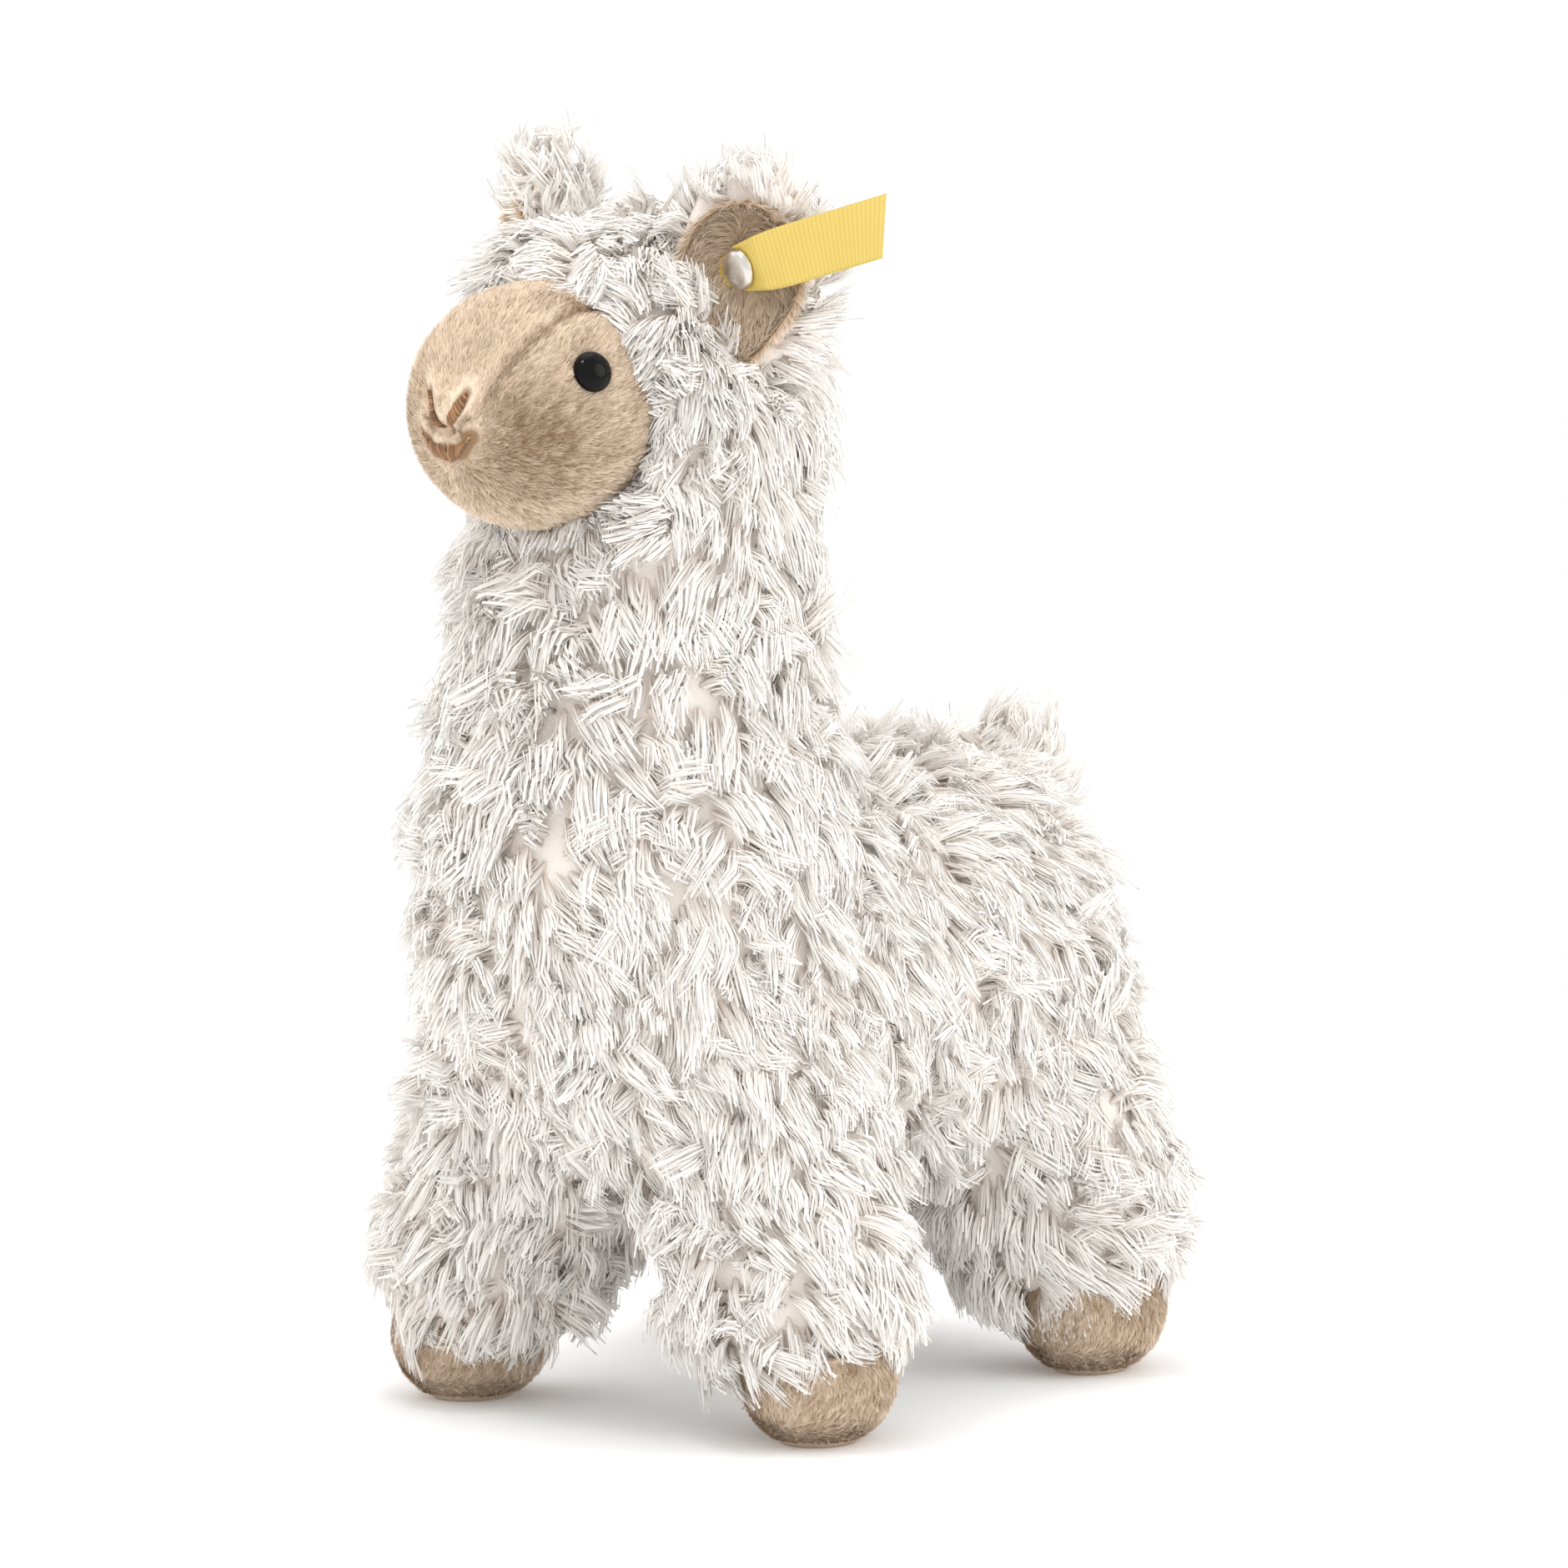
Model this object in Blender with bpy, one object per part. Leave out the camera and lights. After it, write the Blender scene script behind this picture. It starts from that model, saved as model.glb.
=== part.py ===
"""Stuffed llama, standing, with a shaggy cover, a short-pile face and a ribbon tag in its left ear.

Metres, +Z up. The llama faces -Y and its left side is +X. The origin is on the ground, at the
middle of the model's box.
"""

import math

import bmesh
import bpy
from mathutils import Matrix, Vector, noise
from mathutils.bvhtree import BVHTree

# Cloth and sewing
SEAM_GAP = 0.0003
CLOTH_WALL = 0.0030
LINING_WALL = 0.0020

# Shaggy pile: the cover's face size sets how wide one lock is
LOCK_WIDTH = 0.0126
LOCK_HEIGHT = 0.0060
LOCK_DROOP = 0.0030
LOCK_CLEARANCE = 0.0042
EDGE_CLEARANCE = 0.0014
SMALL_LOCK_HEIGHT = 0.0040

# Stance, between the middles of the feet
STANCE_WIDTH = 0.0860
STANCE_LENGTH = 0.0974

# Trunk: (share of the stance length from the middle, middle height, half width, half height)
TRUNK_STATIONS = (
    (-0.64, 0.088, 0.032, 0.032),
    (-0.41, 0.087, 0.040, 0.040),
    (-0.10, 0.086, 0.043, 0.042),
    (0.20, 0.086, 0.044, 0.042),
    (0.46, 0.086, 0.043, 0.041),
    (0.67, 0.086, 0.036, 0.035),
    (0.79, 0.087, 0.024, 0.024),
    (0.84, 0.087, 0.009, 0.009),
)

# Chest and neck: (height, step back from the front feet, half width, half depth)
NECK_STATIONS = (
    (0.066, 0.0005, 0.034, 0.034),
    (0.078, -0.0005, 0.040, 0.040),
    (0.098, -0.0005, 0.042, 0.042),
    (0.112, -0.0015, 0.041, 0.041),
    (0.126, -0.0035, 0.039, 0.039),
    (0.139, -0.0045, 0.036, 0.036),
    (0.152, -0.0045, 0.034, 0.034),
    (0.166, -0.0005, 0.033, 0.033),
    (0.180, 0.0015, 0.033, 0.033),
    (0.196, 0.0025, 0.032, 0.031),
)

# Head: its place, its turn to the llama's right, and (distance forward, radius, lean in degrees)
HEAD_HEIGHT = 0.209
HEAD_BACK = 0.0027
HEAD_TURN = math.radians(-6.0)
HEAD_STATIONS = (
    (-0.0330, 0.0100, 0),
    (-0.0275, 0.0200, 0),
    (-0.0150, 0.0295, 0),
    (0.0000, 0.0335, 0),
    (0.0120, 0.0325, 4),
    (0.0200, 0.0300, 10),
    (0.0270, 0.0265, 18),
)

# Legs: (height, share of the half stance width, radius)
LEG_STATIONS = (
    (0.080, 0.58, 0.0200),
    (0.060, 0.70, 0.0220),
    (0.042, 0.81, 0.0230),
    (0.026, 0.87, 0.0240),
    (0.017, 0.91, 0.0235),
    (0.011, 0.92, 0.0190),
)

# Feet
FOOT_TURN = math.radians(7.0)
FOOT_RADII = (0.0150, 0.0175, 0.0150)
FOOT_MIDDLE = 0.0135
FOOT_RIM = 0.0190

# Face
FACE_FORWARD = 0.0335
FACE_DROP = 0.0033
FACE_PITCH = math.radians(8.0)
FACE_RADII = (0.0238, 0.0255, 0.0238)
FACE_RIM_BACK = 0.0105
FACE_RIM_LEAN = math.radians(14.0)
FACE_ROLL = 0.07
GUSSET_HALF_WIDTH = 0.0138
GUSSET_BULGE = 2.6
GUSSET_SILL = -0.0010

# Embroidery, in the face's own millimetre-sized plane: x across, z up, from the nose point
THREAD_PROUD = 0.0006
THREAD_DEEP = 0.0009
NOSTRIL_WIDTH = 0.0018
NOSTRIL_TOP = (0.0052, 0.0055)
NOSTRIL_FOOT = (0.0016, -0.0022)
MOUTH_HALF_WIDTH = 0.0055
MOUTH_RISE = 0.0016
MOUTH_DEPTH = 0.0052
MOUTH_TOP = -0.0048

# Eyes
EYE_AZIMUTH = math.radians(76.0)
EYE_ELEVATION = math.radians(22.0)
EYE_RADIUS = 0.0041
EYE_DOME = 0.0026
EYE_SUNK = 0.0009
EYE_UNDERCUT = 0.0004
EYE_SHANK_RADIUS = 0.0012
EYE_SHANK_LENGTH = 0.0066
WASHER_RADIUS = 0.0040
WASHER_THICKNESS = 0.0009

# Ears
EAR_X = 0.0265
EAR_FORWARD = 0.002
EAR_RISE = 0.0215
EAR_FACING = math.radians(37.0)
EAR_HALF_WIDTH = 0.0150
EAR_HALF_HEIGHT = 0.0225
EAR_HALF_THICKNESS = 0.0065
EAR_MOUTH_DEPTH = 0.0075
LINING_HALF_WIDTH = 0.0118
LINING_HALF_HEIGHT = 0.0170
LINING_DEPTH = 0.0045

# Tail
TAIL_BACK = 0.0253
TAIL_HEIGHT = 0.104
TAIL_LEAN = math.radians(30.0)
TAIL_RADIUS = 0.0105
TAIL_HALF_LENGTH = 0.0170

# Ear button and its ribbon tag
BUTTON_RADIUS = 0.0041
BUTTON_DOME = 0.0016
BUTTON_EDGE = 0.0007
BUTTON_SHANK_RADIUS = 0.0009
BUTTON_RISE = 0.0020
CLASP_RADIUS = 0.0036
CLASP_THICKNESS = 0.0009
TAG_WIDTH = 0.0118
TAG_THICKNESS = 0.0004
TAG_FOLD_GAP = 0.0007
TAG_CLEARANCE = 0.0013
TAG_REACH = 0.0290
TAG_TAIL = 0.0052
TAG_TILT = math.radians(17.0)
TAG_LIFT = 0.0026

FLAT_ANGLE = math.radians(0.3)

# Facet counts, as segments around and rings from pole to pole
RING_SIDES = 28
TURNED_SIDES = 14
EYE_STEPS = 6
BUTTON_STEPS = 4
FACE_FACETS = (22, 13)
FOOT_FACETS = (14, 8)
EAR_FACETS = (16, 9)
LINING_FACETS = (14, 8)
TAIL_FACETS = (12, 8)

LINEN = (0.93, 0.91, 0.88, 1.0)
SAND = (0.62, 0.46, 0.33, 1.0)
FINISHES = {
    "white_pile": (LINEN, 0.95, 0.0),
    "sand_pile": (SAND, 0.92, 0.0),
    "black_gloss": ((0.012, 0.012, 0.013, 1.0), 0.08, 0.0),
    "brown_thread": ((0.42, 0.24, 0.12, 1.0), 0.7, 0.0),
    "steel": ((0.76, 0.75, 0.72, 1.0), 0.22, 1.0),
    "yellow_ribbon": ((0.90, 0.68, 0.14, 1.0), 0.75, 0.0),
    "clear_plastic": ((0.80, 0.80, 0.78, 1.0), 0.4, 0.0),
}


def clear_scene():
    for obj in list(bpy.data.objects):
        bpy.data.objects.remove(obj, do_unlink=True)


def finish(name):
    found = bpy.data.materials.get(name)
    if found:
        return found
    colour, roughness, metallic = FINISHES[name]
    material = bpy.data.materials.new(name)
    material.use_nodes = True
    shader = material.node_tree.nodes["Principled BSDF"]
    shader.inputs["Base Color"].default_value = colour
    shader.inputs["Roughness"].default_value = roughness
    shader.inputs["Metallic"].default_value = metallic
    return material


def new_object(name, bm, material="white_pile", helper=False):
    """Makes an object from a bmesh. A helper is a cutter or a guide, and no node."""
    bmesh.ops.recalc_face_normals(bm, faces=bm.faces)
    mesh = bpy.data.meshes.new(name)
    bm.to_mesh(mesh)
    bm.free()
    mesh.materials.append(finish(material))
    obj = bpy.data.objects.new(name, mesh)
    bpy.context.scene.collection.objects.link(obj)
    if helper:
        obj.hide_render = True
        obj.display_type = "WIRE"
    return obj


def settle(obj):
    """Applies the object's modifiers."""
    bpy.context.view_layer.update()
    graph = bpy.context.evaluated_depsgraph_get()
    obj.data = bpy.data.meshes.new_from_object(obj.evaluated_get(graph))
    obj.modifiers.clear()
    return obj


def triangulated(obj):
    """Merges faces that lie in one plane, then splits every face into triangles."""
    bm = bmesh.new()
    bm.from_mesh(obj.data)
    bmesh.ops.dissolve_limit(bm, angle_limit=FLAT_ANGLE, verts=bm.verts, edges=bm.edges)
    bmesh.ops.triangulate(bm, faces=bm.faces)
    bm.to_mesh(obj.data)
    bm.free()
    return obj


def combine(obj, tool, operation):
    """Applies one Boolean to flat faces and removes the tool."""
    triangulated(tool)
    modifier = triangulated(obj).modifiers.new(operation.lower(), "BOOLEAN")
    modifier.operation = operation
    modifier.solver = "EXACT"
    modifier.object = tool
    settle(obj)
    bpy.data.objects.remove(tool, do_unlink=True)
    return triangulated(obj)


def smooth_shaded(obj, angle=math.radians(40)):
    obj.data.shade_smooth()
    obj.data.set_sharp_from_angle(angle=angle)
    return obj


def loft(name, rings, helper=True):
    """Bridges closed rings, each a (matrix, half width, half depth), and caps both ends."""
    bm = bmesh.new()
    loops = []
    for place, half_width, half_depth in rings:
        scale = Matrix.Diagonal((half_width, half_depth, 1.0, 1.0))
        made = bmesh.ops.create_circle(bm, radius=1.0, segments=RING_SIDES, matrix=place @ scale)
        bm.verts.index_update()
        loops.append(made["verts"])
    for lower, upper in zip(loops, loops[1:]):
        edges = {e for v in lower + upper for e in v.link_edges}
        both = set(lower) | set(upper)
        rims = [e for e in edges if set(e.verts) <= both and not e.link_faces]
        if lower is not loops[0]:
            rims = [e for e in edges if set(e.verts) <= set(lower) or set(e.verts) <= set(upper)]
        bmesh.ops.bridge_loops(bm, edges=rims)
    bmesh.ops.contextual_create(bm, geom=loops[0])
    bmesh.ops.contextual_create(bm, geom=loops[-1])
    return new_object(name, bm, helper=helper)


def ellipsoid(place, radii, facets, floor=None, roll=0.0):
    """A bmesh ball scaled to its radii, with a flat underside at the height floor where given.

    The roll turns its meridians before scaling, so two balls on one axis don't share them.
    """
    bm = bmesh.new()
    shape = place @ Matrix.Diagonal((*radii, 1.0)) @ Matrix.Rotation(roll, 4, "Z")
    around, rings = facets
    bmesh.ops.create_uvsphere(bm, u_segments=around, v_segments=rings, radius=1.0, matrix=shape)
    if floor is not None:
        cut_away(bm, Vector((0, 0, floor)), Vector((0, 0, -1)))
    return bm


def cut_away(bm, point, normal):
    """Removes what lies beyond a plane on its normal's side and closes the cut."""
    geometry = bm.verts[:] + bm.edges[:] + bm.faces[:]
    cut = bmesh.ops.bisect_plane(
        bm, geom=geometry, plane_co=point, plane_no=normal, clear_outer=True
    )
    edges = [e for e in cut["geom_cut"] if isinstance(e, bmesh.types.BMEdge)]
    bmesh.ops.contextual_create(bm, geom=edges)


def cup(name, outer, inner, rim_point, rim_normal, helper=False):
    """A cloth cap between two balls, opened at its rim plane."""
    cut_away(outer, rim_point, rim_normal)
    cap = new_object(name, outer, "sand_pile", helper)
    return combine(cap, new_object("hollow", inner, helper=True), "DIFFERENCE")


def turned(name, profile, place, material="white_pile", helper=False):
    """Spins a profile of (radius, height) about its own Z, both ends on the axis or both off it."""
    bm = bmesh.new()
    points = [bm.verts.new((radius, 0.0, height)) for radius, height in profile]
    closed = profile[0][0] > 0
    edges = [bm.edges.new(pair) for pair in zip(points, points[1:])]
    if closed:
        edges.append(bm.edges.new((points[-1], points[0])))
    bmesh.ops.spin(
        bm,
        geom=points + edges,
        cent=(0, 0, 0),
        axis=(0, 0, 1),
        angle=math.tau,
        steps=TURNED_SIDES,
        use_merge=True,
    )
    bmesh.ops.remove_doubles(bm, verts=bm.verts, dist=1e-6)
    bmesh.ops.transform(bm, matrix=place, verts=bm.verts)
    return new_object(name, bm, material, helper)


def prism(name, outline, low, high, place, helper=True):
    """An outline of (x, y) points extruded along its own Z from low to high."""
    bm = bmesh.new()
    face = bm.faces.new([bm.verts.new((x, y, low)) for x, y in outline])
    raised = bmesh.ops.extrude_face_region(bm, geom=[face])
    top = [v for v in raised["geom"] if isinstance(v, bmesh.types.BMVert)]
    bmesh.ops.translate(bm, vec=(0, 0, high - low), verts=top)
    bmesh.ops.transform(bm, matrix=place, verts=bm.verts)
    return new_object(name, bm, helper=helper)


def tree_of(obj):
    return BVHTree.FromObject(obj, bpy.context.evaluated_depsgraph_get())


def clearance_to(point, tree):
    """How far a point lies outside a closed shape, negative inside it."""
    spot, normal, _, distance = tree.find_nearest(point)
    return distance if (point - spot).dot(normal) > 0 else -distance


def raise_locks(obj, height, droop, trees):
    """Pokes each face that lies clear of the other pieces into one pointed, drooping lock.

    Each of the trees comes with the distance to keep from it.
    """
    bm = bmesh.new()
    bm.from_mesh(obj.data)
    bm.normal_update()
    shaggy = [
        face
        for face in bm.faces
        if all(clearance_to(face.calc_center_median(), tree) > gap for tree, gap in trees)
    ]
    poked = bmesh.ops.poke(bm, faces=shaggy)
    for tip in poked["verts"]:
        normal = tip.normal.copy()
        vary = noise.noise(tip.co * 190.0)
        swing = noise.noise_vector(tip.co * 120.0)
        down = Vector((0, 0, -1)) - normal * -normal.z
        side = swing - normal * swing.dot(normal)
        tip.co += normal * height * (1.0 + 0.45 * vary) + down * droop + side * droop
    bm.to_mesh(obj.data)
    bm.free()
    return obj


def place_at(point, out, up=Vector((0, 0, 1))):
    """A frame at point whose Z runs along out and whose Y runs as near up as it can."""
    z = out.normalized()
    x = up.cross(z).normalized()
    y = z.cross(x)
    frame = Matrix((x, y, z)).transposed().to_4x4()
    frame.translation = point
    return frame


def grown(radii, by):
    return tuple(radius + by for radius in radii)


GRID_TURN = Matrix.Rotation(math.radians(31), 4, "X") @ Matrix.Rotation(math.radians(38), 4, "Z")
FRONT_Y, HIND_Y = -STANCE_LENGTH / 2, STANCE_LENGTH / 2
HEAD = Matrix.Translation((0, FRONT_Y + HEAD_BACK, HEAD_HEIGHT)) @ Matrix.Rotation(HEAD_TURN, 4, "Z")
FACE = (
    HEAD
    @ Matrix.Translation((0, -FACE_FORWARD, -FACE_DROP))
    @ Matrix.Rotation(FACE_PITCH, 4, "X")
)
SIDES = (("left", 1), ("right", -1))
LEGS = (("front", FRONT_Y), ("hind", HIND_Y))


def trunk_solid():
    upright = Matrix.Rotation(math.radians(90), 4, "X")
    rings = []
    for share, z, width, height in TRUNK_STATIONS:
        place = Matrix.Translation((0, share * STANCE_LENGTH, z))
        rings.append((place @ upright, width, height))
    return loft("trunk", rings)


def neck_solid():
    return loft("neck", [(Matrix.Translation((0, FRONT_Y + step, z)), width, depth)
                         for z, step, width, depth in NECK_STATIONS])


def head_solid():
    forward = Matrix.Rotation(math.radians(90), 4, "X")
    rings = []
    for distance, radius, lean in HEAD_STATIONS:
        tip = Matrix.Rotation(math.radians(lean), 4, "X")
        rings.append((HEAD @ Matrix.Translation((0, -distance, 0)) @ tip @ forward, radius, radius))
    return loft("head", rings)


def leg_solid(side, y):
    rings = []
    for z, share, radius in LEG_STATIONS:
        place = Matrix.Translation((side * share * STANCE_WIDTH / 2, y, z))
        rings.append((place, radius, radius))
    return loft("leg", rings)


def foot_place(side, y):
    spot = Matrix.Translation((side * STANCE_WIDTH / 2, y, FOOT_MIDDLE))
    return spot @ Matrix.Rotation(side * FOOT_TURN, 4, "Z")


def foot_ball(side, y, grow):
    """The foot's ball, flat where it stands."""
    return ellipsoid(foot_place(side, y), grown(FOOT_RADII, grow), FOOT_FACETS, -grow)


def foot_cup(name, side, y, grow=0.0, helper=False):
    rim = Vector((0, 0, FOOT_RIM + grow))
    balls = foot_ball(side, y, grow), foot_ball(side, y, -CLOTH_WALL - grow)
    return cup(name, *balls, rim, Vector((0, 0, 1)), helper)


def foot_filling(side, y):
    return new_object("foot_filling", foot_ball(side, y, -CLOTH_WALL / 2), helper=True)


def face_ball(grow):
    """The face's ball. Its poles are at the nose and at the back."""
    x, y, z = grown(FACE_RADII, grow)
    nose_up = Matrix.Rotation(math.radians(90), 4, "X")
    return ellipsoid(FACE @ nose_up, (x, z, y), FACE_FACETS, roll=FACE_ROLL)


def face_cup(name, grow=0.0, depth=CLOTH_WALL, rim_shift=0.0, helper=False):
    """The whole face cloth, from grow outside the face's surface to depth inside it."""
    back = FACE.to_3x3() @ Matrix.Rotation(FACE_RIM_LEAN, 3, "X") @ Vector((0, 1, 0))
    rim = FACE.translation + back * (FACE_RIM_BACK + rim_shift)
    return cup(name, face_ball(grow), face_ball(-depth), rim, back, helper)


def face_filling():
    return new_object("face_filling", face_ball(-CLOTH_WALL / 2), helper=True)


def gusset_outline(grow):
    """Plan of the forehead strip: round at the nose, straight to the back of the face."""
    half, length = GUSSET_HALF_WIDTH + grow, FACE_RADII[1] + grow
    steps = 14
    front = []
    for i in range(steps + 1):
        angle = math.pi * i / steps
        across = abs(math.cos(angle)) ** (2 / GUSSET_BULGE)
        along = math.sin(angle) ** (2 / GUSSET_BULGE)
        front.append((math.copysign(half * across, math.cos(angle)), -length * along))
    back = 2 * FACE_RADII[1]
    return [(half, back)] + front + [(-half, back)]


def gusset_block(grow):
    height = 2 * FACE_RADII[2]
    return prism("gusset_block", gusset_outline(grow), GUSSET_SILL - grow, height, FACE)


def side_block(side, grow):
    """A block that takes in one half of the face, up to grow past the middle."""
    reach = 2 * FACE_RADII[0]
    inner = -side * grow
    outline = [(inner, -reach), (side * reach, -reach), (side * reach, reach), (inner, reach)]
    return prism("side_block", outline, -reach, reach, FACE)


def face_panels():
    gusset = combine(face_cup("face_gusset"), gusset_block(-SEAM_GAP / 2), "INTERSECT")
    panels = [gusset]
    for label, side in SIDES:
        cheek = combine(face_cup(f"face_cheek_{label}"), gusset_block(SEAM_GAP / 2), "DIFFERENCE")
        panels.append(combine(cheek, side_block(side, -SEAM_GAP / 2), "INTERSECT"))
    return panels


def stroke(start, end, width):
    """Outline of a straight stitch line with pointed ends."""
    along = Vector(end) - Vector(start)
    across = Vector((-along.y, along.x)).normalized() * width / 2
    quarter, three = Vector(start) + along * 0.2, Vector(start) + along * 0.8
    corners = (Vector(start), quarter + across, three + across, Vector(end), three - across)
    return [tuple(p) for p in (*corners, quarter - across)]


def mouth_outline(grow):
    """A filled V with raised corners, drawn by its upper and lower edges."""
    half, low = MOUTH_HALF_WIDTH + grow, MOUTH_TOP - MOUTH_DEPTH - grow
    corner, notch = MOUTH_TOP + MOUTH_RISE + grow, MOUTH_TOP + grow - MOUTH_DEPTH * 0.35
    return [(-half, corner), (-half * 0.45, low + MOUTH_DEPTH * 0.3), (0, low),
            (half * 0.45, low + MOUTH_DEPTH * 0.3), (half, corner), (half * 0.3, notch),
            (-half * 0.3, notch)]


def embroidery(name, outline, grow=0.0, helper=False):
    """A thread patch that follows the face: an outline cut from a thin skin at its surface."""
    skin = face_cup(name, THREAD_PROUD + grow, THREAD_DEEP + grow, helper=helper)
    skin.data.materials[0] = finish("brown_thread")
    nose = FACE @ Matrix.Rotation(math.radians(90), 4, "X")
    block = prism("outline", outline, FACE_RADII[1] / 4, 2 * FACE_RADII[1], nose)
    return combine(skin, block, "INTERSECT")


def nostril_outline(side, grow):
    start = (side * NOSTRIL_TOP[0], NOSTRIL_TOP[1] + grow)
    end = (side * NOSTRIL_FOOT[0], NOSTRIL_FOOT[1] - grow)
    return stroke(start, end, NOSTRIL_WIDTH + 2 * grow)


def stitched(panels):
    """Sews the nostrils and the mouth into the panels."""
    plans = [(f"nostril_stitch_{label}", nostril_outline, side) for label, side in SIDES]
    plans.append(("mouth_stitch", lambda _, grow: mouth_outline(grow), 0))
    for name, outline, side in plans:
        embroidery(name, outline(side, 0.0))
        for panel in panels:
            seat = embroidery("seat", outline(side, SEAM_GAP), SEAM_GAP, helper=True)
            combine(panel, seat, "DIFFERENCE")


def eye_place(side):
    """A frame on the face's surface at one eye, its Z along the surface's normal."""
    level = math.cos(EYE_ELEVATION)
    way = Vector((side * level * math.sin(EYE_AZIMUTH), -level * math.cos(EYE_AZIMUTH),
                  math.sin(EYE_ELEVATION)))
    point = Vector(w * r for w, r in zip(way, FACE_RADII))
    out = Vector(w / r for w, r in zip(way, FACE_RADII))
    return place_at(FACE @ point, FACE.to_3x3() @ out)


def eye_profile(grow):
    """Dome, rim and shank of a domed eye, from its top to the shank's end."""
    steps = EYE_STEPS
    radius, dome = EYE_RADIUS + grow, EYE_DOME + grow
    arc = [(radius * math.sin(math.pi / 2 * i / steps), dome * math.cos(math.pi / 2 * i / steps))
           for i in range(1, steps + 1)]
    shank, back, end = EYE_SHANK_RADIUS + grow, -EYE_SUNK - grow, -EYE_SHANK_LENGTH - grow
    return [(0, dome), *arc, (radius - EYE_UNDERCUT, back), (shank, back), (shank, end), (0, end)]


def washer_top():
    """Height of the lock washer's upper face, just behind the cheek's cloth and its facets."""
    inner = FACE_RADII[2] - CLOTH_WALL
    facet_sag = inner * (1 - math.cos(math.pi / FACE_FACETS[0]))
    return -CLOTH_WALL - WASHER_RADIUS**2 / (2 * inner) - facet_sag - SEAM_GAP


def washer_profile():
    top, low = washer_top(), washer_top() - WASHER_THICKNESS
    hole = EYE_SHANK_RADIUS + SEAM_GAP
    return [(hole, top), (WASHER_RADIUS, top), (WASHER_RADIUS, low), (hole, low)]


def socket_profile():
    """Room in the stuffing for the washer and the shank's end."""
    low = washer_top() - WASHER_THICKNESS - SEAM_GAP
    rim, shank = WASHER_RADIUS + SEAM_GAP, EYE_SHANK_RADIUS + SEAM_GAP
    end = -EYE_SHANK_LENGTH - SEAM_GAP
    return [(0, -CLOTH_WALL / 2), (rim, -CLOTH_WALL / 2), (rim, low), (shank, low), (shank, end),
            (0, end)]


def fit_eyes(panels, body):
    cheeks = dict(zip((label for label, _ in SIDES), panels[1:]))
    for label, side in SIDES:
        place = eye_place(side)
        smooth_shaded(turned(f"eye_{label}", eye_profile(0.0), place, "black_gloss"))
        turned(f"eye_washer_{label}", washer_profile(), place, "clear_plastic")
        seat = turned("seat", eye_profile(SEAM_GAP), place, helper=True)
        combine(cheeks[label], seat, "DIFFERENCE")
        socket = turned("socket", socket_profile(), place, helper=True)
        combine(body, socket, "DIFFERENCE")


def ear_place(side):
    """A frame at the ear's middle, its Z along the way the ear faces."""
    facing = side * EAR_FACING
    out = HEAD.to_3x3() @ Vector((math.sin(facing), -math.cos(facing), 0))
    return place_at(HEAD @ Vector((side * EAR_X, -EAR_FORWARD, EAR_RISE)), out)


def ear_ball(place, grow):
    radii = (EAR_HALF_WIDTH, EAR_HALF_HEIGHT, EAR_HALF_THICKNESS)
    return ellipsoid(place, grown(radii, grow), EAR_FACETS)


def lining_ball(place, grow):
    """The dish that the ear's lining covers, its middle on the ear's front."""
    radii = (LINING_HALF_WIDTH, LINING_HALF_HEIGHT, LINING_DEPTH)
    dish = place @ Matrix.Translation((0, 0, EAR_HALF_THICKNESS))
    return ellipsoid(dish, grown(radii, grow), LINING_FACETS, roll=0.13)


def seat_ear(body, side):
    """Makes room in the pile for the ear, the space in front of its lining and its clasp."""
    place = ear_place(side)
    combine(body, new_object("seat", ear_ball(place, SEAM_GAP), helper=True), "DIFFERENCE")
    open_front = place @ Matrix.Translation((0, 0, EAR_HALF_THICKNESS))
    radii = (LINING_HALF_WIDTH, LINING_HALF_HEIGHT, EAR_MOUTH_DEPTH)
    space = ellipsoid(open_front, radii, LINING_FACETS, roll=0.13)
    combine(body, new_object("space", space, helper=True), "DIFFERENCE")
    if side > 0:
        rim, end = CLASP_RADIUS + SEAM_GAP, clasp_end() - SEAM_GAP
        room = turned("room", [(0, 0), (rim, 0), (rim, end), (0, end)], button_place(),
                      helper=True)
        combine(body, room, "DIFFERENCE")


def button_place():
    """A frame on the button's axis, its X along the tag."""
    spot = Matrix.Translation((0, BUTTON_RISE, 0))
    return ear_place(1) @ spot @ Matrix.Rotation(TAG_TILT, 4, "Z")


def make_ears(body):
    """Ear backs with their own small locks, each with a short-pile lining in its front."""
    ears = []
    for label, side in SIDES:
        place = ear_place(side)
        back = new_object(f"ear_back_{label}", ear_ball(place, 0.0))
        dish = new_object("dish", lining_ball(place, SEAM_GAP), helper=True)
        trees = [(body, LOCK_HEIGHT + SMALL_LOCK_HEIGHT), (tree_of(dish), EDGE_CLEARANCE)]
        if side > 0:
            hub = turned("hub", clasp_profile(), button_place(), helper=True)
            trees.append((tree_of(hub), EDGE_CLEARANCE))
            bpy.data.objects.remove(hub)
        raise_locks(back, SMALL_LOCK_HEIGHT, LOCK_DROOP / 3, trees)
        combine(back, dish, "DIFFERENCE")
        lining = new_object(f"ear_lining_{label}", lining_ball(place, 0.0), "sand_pile")
        hollow = new_object("hollow", lining_ball(place, -LINING_WALL), helper=True)
        combine(lining, hollow, "DIFFERENCE")
        trim = new_object("trim", ear_ball(place, 0.0), helper=True)
        combine(lining, trim, "INTERSECT")
        ears.append((back, lining))
    return ears


def clasp_top():
    return -EAR_HALF_THICKNESS - SEAM_GAP


def clasp_end():
    """Height of the rivet's end, below the ear's middle plane."""
    return clasp_top() - CLASP_THICKNESS - SEAM_GAP


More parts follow.
